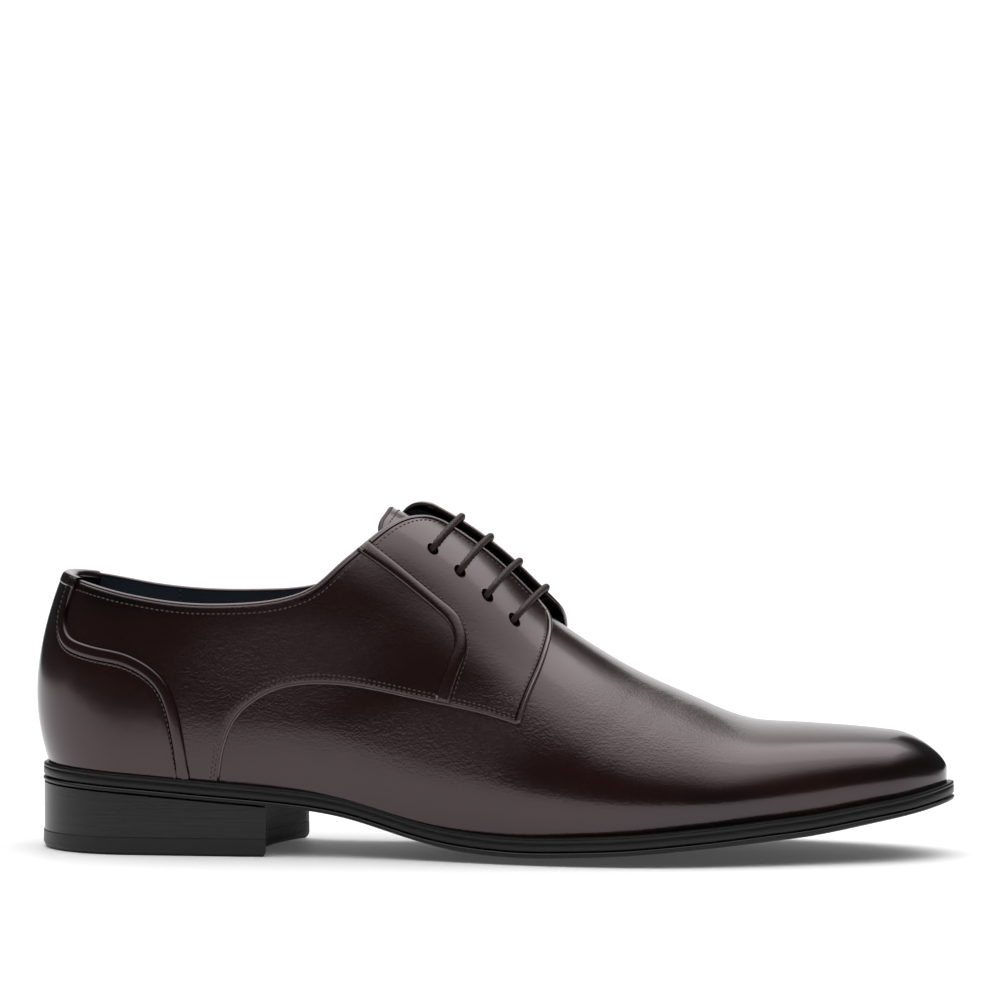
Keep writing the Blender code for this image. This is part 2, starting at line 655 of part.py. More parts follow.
def make_sole(leather, edge):
    """Midsole with its welt, thin outsole, stacked heel, top piece and insole."""
    slab("midsole", sole_loop(0.0), midsole_top, midsole_foot,
         ((SOLE_ROUND, "top", 0.0), (0.0, "top", WELT_ROUND), (0.0, "foot", SOLE_ROUND), (SOLE_ROUND, "foot", 0.0)),
         edge)
    slab("outsole", sole_loop(OUTSOLE_PROUD), outsole_top, outsole_foot,
         ((SOLE_ROUND, "top", 0.0), (0.0, "top", SOLE_ROUND), (SOLE_ROUND / 2, "foot", 0.0)), edge, [flat_spot()])
    slab("heel_stack", heel_loop(-HEEL_SHY), heel_top, flat(TOP_PIECE + CLEAR),
         ((SOLE_ROUND, "top", 0.0), (0.0, "top", SOLE_ROUND), (0.0, "foot", 0.0)), edge)
    slab("top_piece", heel_loop(TOP_PIECE_PROUD), flat(TOP_PIECE), flat(0.0),
         ((0.0, "top", 0.0), (0.0, "foot", TOP_PIECE_ROUND), (TOP_PIECE_UNDER, "foot", 0.0)), edge)
    insole_in = -(WALL + 2 * CLEAR)
    along = np.linspace(0, SPAN, round(SPAN / EDGE_STEP) + 1)
    loop = []
    for side, row in ((-1, along), (1, along[::-1][1:-1])):
        column = "outer" if side < 0 else "inner"
        place = on_last(side, row, 0.0)
        width = HALF_BALL * SOLE_OUT[column](np.clip(place[:, 0] / LENGTH, 0, 1))
        loop.extend(tuple(spot) for spot in sole_edge(side, row, insole_in - width))
    slab("insole", loop, lambda x, y: foot(x) + INSOLE, lambda x, y: foot(x),
         ((SOLE_ROUND, "top", 0.0), (0.0, "top", SOLE_ROUND), (0.0, "foot", 0.0)), leather)


def make_laces(material):
    """Four straight bars over the throat, each end turned down into its eyelet."""
    sill = QUARTER_STEP + CLEAR + LACE_RADIUS
    for number, (along, up) in enumerate(EYELETS, 1):
        width = (1 - up) * GIRTH
        shares = np.linspace(-1, 1, LACE_POINTS)
        places = [(along * SPAN + LACE_BOW * (1 - s * s), s * width * LACE_SHARE) for s in shares]
        places = np.array(places)
        run = skin(places, sill + facing_lift(places))
        ends = []
        for side in (-1, 1):
            eyelet = np.array([(along * SPAN, side * width)] * 2)
            ends.append(skin(eyelet, facing_lift(eyelet) + np.array([-WALL / 2, QUARTER_STEP])))
        route = [ends[0][0], ends[0][1], *run, ends[1][1], ends[1][0]]
        curve = bpy.data.curves.new(f"lace_bar_{number}", "CURVE")
        curve.dimensions = "3D"
        curve.bevel_depth = LACE_RADIUS
        curve.bevel_resolution = 2
        curve.use_fill_caps = True
        curve.render_resolution_u = 0
        line = curve.splines.new("POLY")
        line.points.add(len(route) - 1)
        for point, place in zip(line.points, route):
            point.co = (*place, 1)
        curve.materials.append(material)
        piece = bpy.data.objects.new(f"lace_bar_{number}", curve)
        bpy.context.scene.collection.objects.link(piece)


def centre(pieces):
    """Moves every piece so that the shoe stands on the origin at the middle of its length and width."""
    corners = np.array([corner for piece in pieces for corner in piece.bound_box])
    low = corners.min(axis=0)
    high = corners.max(axis=0)
    for piece in pieces:
        piece.location = (-(low[0] + high[0]) / 2, -(low[1] + high[1]) / 2, -low[2])


def build():
    for old in list(bpy.data.objects):
        bpy.data.objects.remove(old)
    calf = finish_material("brown_calf", (0.045, 0.022, 0.018), 0.28)
    edge = finish_material("black_edge", (0.012, 0.012, 0.014), 0.4)
    lining = finish_material("navy_lining", (0.03, 0.035, 0.05), 0.55)
    lace = finish_material("waxed_lace", (0.035, 0.022, 0.018), 0.5)
    make_upper(calf)
    make_tongue(calf)
    make_sole(lining, edge)
    make_laces(lace)
    bpy.context.view_layer.update()
    centre(list(bpy.context.scene.collection.objects))


build()
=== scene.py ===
from math import cos, hypot, pi, radians, sin

import bmesh
import bpy
import numpy as np
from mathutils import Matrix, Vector
from mathutils.geometry import delaunay_2d_cdt


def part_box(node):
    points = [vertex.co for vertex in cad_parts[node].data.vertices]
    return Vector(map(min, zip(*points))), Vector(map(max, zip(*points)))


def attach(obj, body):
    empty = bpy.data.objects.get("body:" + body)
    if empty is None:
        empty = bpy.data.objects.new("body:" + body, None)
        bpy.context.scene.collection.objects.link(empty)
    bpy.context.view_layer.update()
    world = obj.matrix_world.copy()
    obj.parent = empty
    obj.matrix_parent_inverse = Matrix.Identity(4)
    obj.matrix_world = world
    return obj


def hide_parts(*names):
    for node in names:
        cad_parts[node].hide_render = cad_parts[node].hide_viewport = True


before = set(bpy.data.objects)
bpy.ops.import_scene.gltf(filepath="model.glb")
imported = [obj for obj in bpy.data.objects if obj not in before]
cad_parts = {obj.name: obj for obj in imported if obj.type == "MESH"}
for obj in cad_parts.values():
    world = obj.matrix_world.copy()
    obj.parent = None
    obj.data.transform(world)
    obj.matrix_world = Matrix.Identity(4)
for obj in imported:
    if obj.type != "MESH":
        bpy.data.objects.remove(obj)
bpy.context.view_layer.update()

MM = 0.001

# Sizes of the shoe, the same as those of its solids
LENGTH = 312.5 * MM
HALF_BALL = 49.0 * MM
INSTEP_RISE = 98.3 * MM
HEEL_SEAT = 20.2 * MM
TOE_SPRING = 16.0 * MM
SOLE_EDGE = 9.5 * MM
WALL = 1.8 * MM
QUARTER = 1.2 * MM
COUNTER_STEP = 1.2 * MM
BAND_STEP = 1.3 * MM
FACING_LIFT = 1.8 * MM
INNER_FACING_LIFT = 3.8 * MM
THROAT_HALF = 8.0 * MM
CLEAR = 0.3 * MM
MIDSOLE = 4.6 * MM
OUTSOLE = 1.4 * MM
CROWN = 3.6 * MM
CROWN_FROM = 0.34
CROWN_GROWS = 0.14
CROWN_FADES = 0.20
TOP_PIECE = 6.0 * MM
INSOLE = 3.0 * MM
TONGUE_WALL = 1.6 * MM
TONGUE_CLEAR = 0.7 * MM
EYELET_RADIUS = 1.8 * MM
LACE_RADIUS = 1.1 * MM
LACE_BOW = 4.5 * MM
BREAST_OUTER = 83.0 * MM
BREAST_INNER = 88.0 * MM
BREAST_HOLLOW = 6.0 * MM
HEEL_REACH = 34.0 * MM
HEEL_ARC = 52.0 * MM
BACK_HEIGHT = 53.0 * MM
BACK_MOST = 0.7 * MM
BACK_CURVE = 133.3 * MM
BACK_EASE = 120.0 * MM
TOE_NOSE = 18.1 * MM
TOE_FROM = 0.9344 * LENGTH
TOE_ARC = 26.0 * MM
TIP_RISE = 4.6 * MM
TIP_POWER = 1.4
TUCK_SHARE = 0.35
TOE_AT = HEEL_ARC + TOE_FROM - HEEL_REACH
SPAN = TOE_AT + TOE_ARC
GIRTH = 85.0 * MM

# Cross sections of the last, as shares of the length and of the sizes that they follow
COLUMNS = (
    "along", "pitch", "spring", "rise", "outer", "inner", "ridge", "tuck", "outer_square", "inner_square",
)
SECTIONS = (
    (0.0, 1.0, 0.0, 1.2, 0.582, 0.582, 0.0, 0.03, 0.05, 0.05),
    (0.064, 0.95, 0.0, 1.19, 0.596, 0.596, 0.0, 0.03, 0.05, 0.05),
    (0.128, 0.88, 0.0, 1.175, 0.612, 0.608, 0.0, 0.032, 0.05, 0.05),
    (0.192, 0.8, 0.0, 1.155, 0.622, 0.604, 0.01, 0.036, 0.05, 0.06),
    (0.272, 0.7, 0.0, 1.115, 0.637, 0.588, 0.03, 0.045, 0.05, 0.08),
    (0.352, 0.525, 0.0, 1.058, 0.698, 0.567, 0.051, 0.051, 0.04, 0.12),
    (0.432, 0.19, 0.0, 1.008, 0.786, 0.602, 0.071, 0.055, 0.03, 0.15),
    (0.512, 0.02, 0.0, 0.858, 0.894, 0.71, 0.082, 0.058, 0.03, 0.12),
    (0.55, 0.0, 0.0, 0.745, 0.945, 0.786, 0.082, 0.06, 0.03, 0.1),
    (0.592, 0.0, 0.02, 0.643, 0.98, 0.857, 0.082, 0.061, 0.03, 0.08),
    (0.656, 0.0, 0.08, 0.513, 1.0, 0.949, 0.082, 0.061, 0.03, 0.06),
    (0.72, 0.0, 0.19, 0.403, 0.955, 0.976, 0.09, 0.058, 0.04, 0.05),
    (0.752, 0.0, 0.25, 0.349, 0.905, 0.958, 0.095, 0.055, 0.05, 0.06),
    (0.784, 0.0, 0.32, 0.309, 0.843, 0.925, 0.1, 0.052, 0.07, 0.07),
    (0.816, 0.0, 0.39, 0.291, 0.77, 0.875, 0.1, 0.048, 0.08, 0.08),
    (0.848, 0.0, 0.46, 0.275, 0.69, 0.812, 0.1, 0.044, 0.09, 0.09),
    (0.912, 0.0, 0.66, 0.229, 0.51, 0.653, 0.1, 0.038, 0.1, 0.1),
    (0.96, 0.0, 0.82, 0.189, 0.367, 0.51, 0.098, 0.032, 0.1, 0.1),
    (1.0, 0.0, 1.0, 0.158, 0.255, 0.4, 0.095, 0.026, 0.1, 0.1),
)

# How far the sole's edge stands out, as shares of half the ball width
EDGE_COLUMNS = ("along", "outer", "inner")
EDGE = (
    (0.0, 0.09, 0.09),
    (0.1, 0.062, 0.062),
    (0.28, 0.052, 0.048),
    (0.35, 0.02, 0.0),
    (0.44, 0.03, -0.01),
    (0.55, 0.064, 0.04),
    (0.68, 0.074, 0.066),
    (0.85, 0.066, 0.062),
    (0.95, 0.056, 0.056),
    (1.0, 0.048, 0.048),
)

# Seams as shares of the upper's span and of its height up to the ridge
COLLAR = (
    (0.0, 0.365), (0.079, 0.359), (0.149, 0.346), (0.205, 0.341), (0.272, 0.36), (0.323, 0.401),
    (0.35, 0.45), (0.372, 0.526), (0.395, 0.62), (0.4126, 0.706), (0.4226, 0.757), (0.4338, 0.812),
    (0.4451, 0.86), (0.456, 0.892), (0.467, 0.905),
)
COLLAR_INNER = (
    (0.0, 0.365), (0.079, 0.36), (0.149, 0.35), (0.205, 0.352), (0.272, 0.373), (0.323, 0.409),
    (0.35, 0.455), (0.372, 0.529), (0.395, 0.624), (0.413, 0.73), (0.427, 0.835), (0.446, 0.905),
)
QUARTER_FOOT = (
    (0.25, 0.0), (0.254, 0.051), (0.265, 0.114), (0.284, 0.16), (0.31, 0.196), (0.34, 0.22),
    (0.416, 0.256), (0.498, 0.292), (0.557, 0.327),
)
QUARTER_FRONT = (
    (0.557, 0.327), (0.568, 0.467), (0.575, 0.569), (0.578, 0.675), (0.577, 0.787), (0.571, 0.905),
)
COUNTER = (
    (0.079, 0.359), (0.0755, 0.33), (0.0738, 0.296), (0.078, 0.268), (0.089, 0.247), (0.104, 0.2385),
    (0.128, 0.2325), (0.156, 0.2265), (0.174, 0.2145), (0.19, 0.1955), (0.202, 0.168), (0.209, 0.138),
    (0.2155, 0.086), (0.2222, 0.0),
)
BAND_BACK = (
    (0.388, 0.593), (0.418, 0.566), (0.45, 0.536), (0.4745, 0.5125), (0.4865, 0.491), (0.4907, 0.457),
    (0.488, 0.412), (0.48, 0.34), (0.4715, 0.2805),
)
BAND_FRONT = (
    (0.3982, 0.637), (0.418, 0.612), (0.436, 0.592), (0.457, 0.571), (0.478, 0.5535), (0.4925, 0.538),
    (0.5, 0.51), (0.5032, 0.473), (0.502, 0.432), (0.4965, 0.376), (0.488, 0.2876),
)
EYELETS = ((0.461, 0.715), (0.489, 0.690), (0.517, 0.670), (0.544, 0.662))
TONGUE = (
    (0.417, 1.0), (0.415, 0.86), (0.411, 0.74), (0.418, 0.67), (0.45, 0.625), (0.52, 0.6),
    (0.6, 0.64), (0.625, 0.8), (0.63, 1.0),
)
LIFT_ALONG = (0.385, 0.440)
LIFT_UP = (0.500, 0.720)
LIFT_WITHIN = (0.515, 0.563)

# Creases of the vamp and quarters: side, place along and up, lean, then reach, width and depth in mm
CREASES = (
    (-1, 0.665, 0.62, 1.35, 15.0, 2.6, 0.16),
    (-1, 0.68, 0.5, 1.2, 17.0, 3.0, 0.14),
    (-1, 0.7, 0.72, 1.5, 16.0, 3.2, 0.14),
    (-1, 0.64, 0.4, 1.05, 15.0, 3.4, 0.12),
    (1, 0.67, 0.58, 1.8, 17.0, 3.0, 0.15),
    (1, 0.695, 0.48, 1.9, 16.0, 3.2, 0.12),
    (-1, 0.33, 0.31, 0.25, 20.0, 4.0, 0.2),
    (-1, 0.38, 0.36, 0.5, 18.0, 4.5, 0.18),
    (1, 0.34, 0.33, 0.3, 20.0, 4.5, 0.2),
)
CREASE_BOW = 0.006
CREASE_RIDGE = 0.5
RIDGE_AWAY = 1.6

TUCKED_IN = 0.2 * MM
LOOK_ALONG = 0.4 * MM
LOOK_UP = 0.004
TINY = 1e-16
FOOT_UP = 0.002
SAME_SPOT = 0.1 * MM
WELD = 2e-6
SLIVER = 1e-7
SOLE_STATIONS = 120

# Fineness of the visual meshes
FINE = 2.2 * MM
SEAM_FINE = 1.2 * MM
QUARTER_FINE = 1.7 * MM
LINING_FINE = 3.0 * MM
SOLE_FINE = 2.0 * MM


def unit(vectors):
    return vectors / np.linalg.norm(vectors, axis=-1, keepdims=True)


def measured(points):
    """The distance along a line to each of its points."""
    gaps = np.linalg.norm(np.diff(points, axis=0), axis=1)
    return np.concatenate([[0], np.cumsum(gaps)])


def listed(points):
    return [tuple(spot) for spot in points]


def spline(knots, values):
    """A natural cubic through the rows of one column."""
    x = np.asarray(knots, float)
    y = np.asarray(values, float)
    count = len(x)
    gap = np.diff(x)
    system = np.eye(count)
    right = np.zeros(count)
    for i in range(1, count - 1):
        system[i, i - 1:i + 2] = gap[i - 1], 2 * (gap[i - 1] + gap[i]), gap[i]
        right[i] = 6 * ((y[i + 1] - y[i]) / gap[i] - (y[i] - y[i - 1]) / gap[i - 1])
    bend = np.linalg.solve(system, right)

    def value(place):
        place = np.clip(place, x[0], x[-1])
        i = np.clip(np.searchsorted(x, place, side="right") - 1, 0, count - 2)
        t = place - x[i]
        g = gap[i]
        slope = (y[i + 1] - y[i]) / g - g * (2 * bend[i] + bend[i + 1]) / 6
        return y[i] + t * slope + t * t * bend[i] / 2 + t ** 3 * (bend[i + 1] - bend[i]) / (6 * g)

    return value


def columns(names, rows):
    table = np.array(rows).T
    return {name: spline(table[0], column) for name, column in zip(names, table)}


SECTION = columns(COLUMNS, SECTIONS)
SOLE_OUT = columns(EDGE_COLUMNS, EDGE)


def back(z):
    """The heel's back line: the place along X at each height."""
    above = z - BACK_HEIGHT
    return BACK_MOST + above * above / BACK_CURVE / (1 + np.clip(above, 0, None) / BACK_EASE)


def foot(x):
    """Height of the upper's lower edge."""
    share = x / LENGTH
    return SOLE_EDGE + HEEL_SEAT * SECTION["pitch"](share) + TOE_SPRING * SECTION["spring"](share)


def form(side, along, up):
    """The last's surface on one side; along in metres from the heel's back, up from 0 to 1."""
    heel_turn = np.clip(along / HEEL_ARC, 0, 1) * pi / 2
    toe_turn = np.clip((along - TOE_AT) / TOE_ARC, 0, 1) * pi / 2
    turn = up * pi / 2
    in_heel = along < HEEL_ARC
    middle = HEEL_REACH + np.clip(along - HEEL_ARC, 0, TOE_FROM - HEEL_REACH) + TOE_NOSE * np.sin(toe_turn)
    base = np.where(in_heel, HEEL_REACH - (HEEL_REACH - back(foot(0.0))) * np.cos(heel_turn), middle)
    share = base / LENGTH
    rise = TIP_RISE + (INSTEP_RISE * SECTION["rise"](share) - TIP_RISE) * np.cos(toe_turn) ** TIP_POWER
    z = foot(base) + rise * np.sin(turn)
    x = np.where(in_heel, HEEL_REACH - (HEEL_REACH - back(z)) * np.cos(heel_turn), middle)
    outer = side < 0
    ridge = HALF_BALL * SECTION["ridge"](share)
    outer_half = HALF_BALL * SECTION["outer"](share) + ridge
    inner_half = HALF_BALL * SECTION["inner"](share) - ridge
    half = np.where(outer, outer_half, inner_half)
    square = np.where(outer, SECTION["outer_square"](share), SECTION["inner_square"](share))
    tuck = HALF_BALL * SECTION["tuck"](share) * np.clip(1 - np.sin(turn) / TUCK_SHARE, 0, 1) ** 2
    bulge = np.cos(turn) + square * (np.cos(turn) - np.cos(3 * turn))
    y = ridge + side * (half * bulge - tuck) * np.sin(heel_turn) * np.cos(toe_turn)
    return np.stack([x, y, z], -1)


def same_shape(*values):
    return np.broadcast_arrays(*(np.asarray(value, float) for value in values))


def on_last(side, along, up):
    """The last's surface, carried on past the heel's back, the ridge and the toe's tip."""
    side, along, up = same_shape(side, along, up)
    crossed = (along < 0) ^ (along > SPAN) ^ (up > 1)
    side = np.where(crossed, -side, side)
    along = np.where(along > SPAN, 2 * SPAN - along, np.abs(along))
    up = np.where(up > 1, 2 - up, up)
    return form(side, along, np.clip(up, 0, 1))


def outward(side, along, up):
    """Unit normals of the last's surface."""
    side, along, up = same_shape(side, along, up)
    forward = on_last(side, along + LOOK_ALONG, up) - on_last(side, along - LOOK_ALONG, up)
    upward = on_last(side, along, up + LOOK_UP) - on_last(side, along, np.maximum(up - LOOK_UP, 0))
    normal = np.cross(forward, upward) * (-side)[..., None]
    size = np.linalg.norm(normal, axis=-1, keepdims=True)
    pole = np.array([1.0, 0.0, 1.0]) / np.sqrt(2)
    return np.where(size > TINY, normal / np.maximum(size, TINY), pole)


def foot_edge(side, along, width):
    """The outline of the upper's lower edge, moved out by a width."""
    ahead = on_last(side, along + MM, 0.0) - on_last(side, along - MM, 0.0)
    out = unit(np.stack([ahead[:, 1], -ahead[:, 0]], -1) * (-side))
    return on_last(side, along, 0.0)[:, :2] + out * np.reshape(width, (-1, 1))


def sole_edge(side, along, extra):
    """The sole's outline at a place along the upper, moved out by an extra width."""
    share = np.clip(on_last(side, along, 0.0)[:, 0] / LENGTH, 0, 1)
    return foot_edge(side, along, HALF_BALL * SOLE_OUT["outer" if side < 0 else "inner"](share) + extra)


# The frame's origin lies at the middle of the shoe's box, and the form's at the heel's back
MIDSOLE_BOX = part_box("midsole")
SOLE_SIDES = [sole_edge(side, np.linspace(0, SPAN, SOLE_STATIONS), 0.0) for side in (-1, 1)]
SHIFT = np.array([
    MIDSOLE_BOX[0][0] - min(edge[:, 0].min() for edge in SOLE_SIDES),
    MIDSOLE_BOX[0][1] - SOLE_SIDES[0][:, 1].min(),
    0.0,
])


def ease(value, start, end):
    """A smooth share from 0 at the start to 1 at the end."""
    share = np.clip((value - start) / (end - start), 0, 1)
    return share * share * (3 - 2 * share)


def facing_lift(side, along, up, within=False):
    """How far the facings stand over the tongue; within, it ends before the vamp's edge."""
    over = side * (1 - up) * GIRTH
    most = FACING_LIFT + (INNER_FACING_LIFT - FACING_LIFT) * ease(over, -THROAT_HALF, THROAT_HALF)
    lift = most * ease(along / SPAN, *LIFT_ALONG) * ease(up, *LIFT_UP)
    return lift * (1 - ease(along / SPAN, *LIFT_WITHIN)) if within else lift


def creases(side, along, up):
    """Soft troughs of worn-in leather, each a dent across its own short line."""
    depth = np.zeros(np.shape(along))
    for where, at, high, lean, reach, width, most in CREASES:
        dx = (along - at * SPAN) / MM
        dy = (up - high) * GIRTH / MM
        run = dx * cos(lean) + dy * sin(lean)
        off = dy * cos(lean) - dx * sin(lean) + run * run * CREASE_BOW
        dent = np.exp(-(off / width) ** 2)
        ridge = CREASE_RIDGE * np.exp(-((off - RIDGE_AWAY * width) / width) ** 2)
        fade = np.exp(-(run / reach) ** 2)
        depth += np.where(side == where, most * MM * fade * (ridge - dent), 0.0)
    return depth


def over_ridge(places):
    """Side, along and up for a pattern laid out across the ridge."""
    places = np.asarray(places, float)
    return np.where(places[:, 1] < 0, -1.0, 1.0), places[:, 0], 1 - np.abs(places[:, 1]) / GIRTH


def round_heel(places):
    """Side, along and up for a pattern laid out round the heel's back; the outer side is positive."""
    places = np.asarray(places, float)
    return np.where(places[:, 0] < 0, 1.0, -1.0), np.abs(places[:, 0]), places[:, 1] / GIRTH


def skin(places, offset, layout=over_ridge, lifted=False, within=False):
    """Points in the frame at an offset from the last."""
    side, along, up = layout(places)
    offset = np.asarray(offset, float) + creases(side, along, up)
    if lifted:
        offset = offset + facing_lift(side, along, up, within)
    spots = on_last(side, along, up) + outward(side, along, up) * offset[..., None]
    hidden = foot(spots[:, 0]) - CLEAR - TUCKED_IN
    spots[:, 2] = np.where(up < FOOT_UP, hidden, np.maximum(spots[:, 2], hidden))
    return spots + SHIFT


def across(side, rows):
    """Turns (along, up) shares of one side into places on the pattern across the ridge."""
    return [(along * SPAN, side * (1 - up) * GIRTH) for along, up in rows]


def smooth(points, step=SEAM_FINE):
    """A curve through the points, cut into stretches of about one step."""
    points = np.asarray(points, float)
    reach = measured(points)
    count = max(2, round(reach[-1] / step))
    spots = np.linspace(0, reach[-1], count + 1)
    return listed(np.stack([spline(reach, points[:, k])(spots) for k in (0, 1)], -1))


def straight(start, end, step=SEAM_FINE):
    count = max(1, round(hypot(end[0] - start[0], end[1] - start[1]) / step))
    return [(start[0] + (end[0] - start[0]) * k / count, start[1] + (end[1] - start[1]) * k / count)
            for k in range(count + 1)]


def joined(*stretches):
    """One closed loop of stretches that follow on each other, with no point twice."""
    loop = []
    for stretch in stretches:
        for spot in stretch:
            if not loop or hypot(spot[0] - loop[-1][0], spot[1] - loop[-1][1]) > SAME_SPOT:
                loop.append(tuple(spot))
    if hypot(loop[0][0] - loop[-1][0], loop[0][1] - loop[-1][1]) < SAME_SPOT:
        loop.pop()
    return anticlockwise(loop)


def anticlockwise(loop):
    area = sum(a[0] * b[1] - b[0] * a[1] for a, b in zip(loop, loop[1:] + loop[:1]))
    return loop if area > 0 else list(reversed(loop))


def inside(places, loop):
    """Which places lie inside a closed loop."""
    places = np.asarray(places, float)
    x, y = places[:, 0], places[:, 1]
    hit = np.zeros(len(places), bool)
    for (x0, y0), (x1, y1) in zip(loop, loop[1:] + loop[:1]):
        if y0 == y1:
            continue
        crosses = (y0 > y) != (y1 > y)
        hit ^= crosses & (x < x0 + (y - y0) * (x1 - x0) / (y1 - y0))
    return hit


def spacing(places, loop):
    """Distance from each place to the nearest point of a loop or line."""
    nearest = np.full(len(places), 1.0)
    for spot in loop:
        nearest = np.minimum(nearest, np.hypot(places[:, 0] - spot[0], places[:, 1] - spot[1]))
    return nearest


def inset(loop, distance):
    """Moves a loop that runs anticlockwise inwards."""
    points = np.asarray(loop, float)
    run = np.roll(points, -1, axis=0) - np.roll(points, 1, axis=0)
    inwards = np.stack([-run[:, 1], run[:, 0]], -1)
    inwards = inwards / np.maximum(np.linalg.norm(inwards, axis=1, keepdims=True), TINY)
    return points + inwards * distance


GUARD_RINGS = (1.18, 1.55)
EDGE_ROOM = 0.6


def grown(ring, share):
    return ring.mean(axis=0) + (ring - ring.mean(axis=0)) * share


def triangulate(loop, holes, step):
    """Triangles inside a loop and outside its holes, and their places, with two rings round each hole."""
    rings = [np.asarray(hole) for hole in holes]
    guards = [grown(ring, share) for ring in rings for share in GUARD_RINGS]
    low = np.min(loop, axis=0)
    high = np.max(loop, axis=0)
    across_rows = np.arange(low[0] + step / 2, high[0], step)
    up_rows = np.arange(low[1] + step / 2, high[1], step)
    grid_x, grid_y = np.meshgrid(across_rows, up_rows, indexing="ij")
    grid_y = grid_y + (np.arange(len(across_rows)) % 2)[:, None] * step / 2
    grid = np.stack([grid_x.ravel(), grid_y.ravel()], -1)
    keep = inside(grid, loop)
    for line in [loop] + holes + guards:
        keep &= spacing(grid, line) > EDGE_ROOM * step
    places = [Vector(place) for place in loop]
    edges = [(i, (i + 1) % len(loop)) for i in range(len(loop))]
    for hole in holes:
        first = len(places)
        places.extend(Vector(place) for place in hole)
        edges.extend((first + i, first + (i + 1) % len(hole)) for i in range(len(hole)))
    for guard in guards:
        places.extend(Vector(place) for place in guard)
    places.extend(Vector(place) for place in grid[keep])
    spots, _, faces, *_ = delaunay_2d_cdt(places, edges, [], 0, SLIVER)
    spots = np.array(listed(spots))
    middles = spots[np.array([list(face) for face in faces])].mean(axis=1)
    kept = inside(middles, loop)
    for hole in holes:
        kept &= ~inside(middles, hole)
    return spots, [list(face) for face, good in zip(faces, kept) if good]


def linked(name, data, place=(0, 0, 0), turn=(0, 0, 0)):
    """A new object in the scene."""
    thing = bpy.data.objects.new(name, data)
    thing.location = place
    thing.rotation_euler = turn
    bpy.context.scene.collection.objects.link(thing)
    return thing


def add_piece(name, verts, faces, material, replaces=(), smooth_angle=None):
    """Makes an object that rides on the shoe's only body."""
    data = bpy.data.meshes.new(name)
    data.from_pydata(listed(verts), [], faces)
    mesh = bmesh.new()
    mesh.from_mesh(data)
    bmesh.ops.remove_doubles(mesh, verts=mesh.verts[:], dist=WELD)
    bmesh.ops.dissolve_degenerate(mesh, edges=mesh.edges[:], dist=SLIVER)
    mesh.to_mesh(data)
    mesh.free()
    data.shade_smooth()
    if smooth_angle:
        data.set_sharp_from_angle(angle=smooth_angle)
    data.materials.append(material)
    piece = linked(name, data)
    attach(piece, "root")
    if replaces:
        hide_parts(*replaces)
    return piece


def bridge(first, gaps, count, turned=False):
    """Quads between rings of vertices that follow on each other."""
    quads = []
    for here in range(first, first + gaps * count, count):
        for i in range(count):
            a, b = here + i, here + (i + 1) % count
            quads.append([b, a, a + count, b + count] if turned else [a, b, b + count, a + count])
    return quads


ROLLED = ((0.00, 0.00), (0.02, 0.45), (0.10, 0.74), (0.28, 0.93), (0.60, 1.00))
FLAT = ((0.0, 1.0),)
FEATHER_UP = 0.02
HOLE_TAPER = 0.96
HOLE_ROUND = 0.35 * MM


def panel(name, loop, low, thick, material, layout=over_ridge, profile=ROLLED, holes=(), step=FINE,
          lifted=False, within=False, turned=False, replaces=()):
    """A leather panel: its edge rolls down from its top to the level that it lies on."""
    last_ring = listed(inset(loop, profile[-1][0] * MM))
    spots, faces = triangulate(last_ring, [list(hole) for hole in holes], step)
    count = len(loop)
    levels = [low + thick * share for _, share in profile]
    rings = [inset(loop, distance * MM) for distance, _ in profile]
    places = np.concatenate(rings[:-1] + [spots]) if len(rings) > 1 else spots
    offsets = np.repeat(levels, [count] * (len(levels) - 1) + [len(spots)])
    at_feather = layout(places)[2] < FEATHER_UP
    offsets = np.where(at_feather, levels[-1], offsets)
    first = count * (len(rings) - 1)
    built = [[first + i for i in face] for face in faces]
    built.extend(bridge(0, len(rings) - 1, count))
    verts = list(skin(places, offsets, layout, lifted, within))
    for hole in holes:
        rim = np.asarray(hole)
        wide = grown(rim, HOLE_TAPER)
        start = len(verts)
        for edge, level in ((rim, low + thick), (wide, low + thick - HOLE_ROUND), (wide, -WALL)):
            verts.extend(skin(edge, level, layout, lifted, within))
        built.extend(bridge(start, 2, len(rim), turned=True))
    if turned:
        built = [list(reversed(face)) for face in built]
    return add_piece(name, verts, built, material, replaces)


STRANDS = 3
TUBE_START = (0.3, 1.0, 0.2)


def tube(name, path, radius, material, sides=12, replaces=(), twist=0.0, relief=0.0):
    """A round cord or bead along points in the frame, with closed ends."""
    path = np.asarray(path, float)
    run = unit(np.gradient(path, axis=0))
    normal = np.zeros_like(path)
    normal[0] = unit(np.cross(run[0], TUBE_START))
    for i in range(1, len(path)):
        normal[i] = unit(normal[i - 1] - run[i] * (normal[i - 1] @ run[i]))
    side = np.cross(run, normal)
    reach = measured(path)
    turns = np.linspace(0, 2 * pi, sides, endpoint=False)
    verts = []
    for i, place in enumerate(path):
        swell = 1 + relief * np.cos(STRANDS * turns + twist * reach[i])
        ring = np.cos(turns)[:, None] * normal[i] + np.sin(turns)[:, None] * side[i]
        verts.extend(place + ring * (radius * swell)[:, None])
    last = (len(path) - 1) * sides
    faces = bridge(0, len(path) - 1, sides)
    faces += [list(reversed(range(sides))), list(range(last, last + sides))]
    return add_piece(name, verts, faces, material, replaces)


STITCH_LOOK = 0.3 * MM
STITCH_LIFT = 0.05 * MM
STITCH_SINK = 0.22 * MM
STITCH_RINGS = ((-1.0, 0.25), (-0.80, 0.80), (-0.3, 1.0), (0.3, 1.0), (0.80, 0.80), (1.0, 0.25))
STITCH_SIDES = 6


def between(at, reach, values):
    """The value at a distance along a line of points."""
    return np.array([np.interp(at, reach, values[:, k]) for k in range(3)])


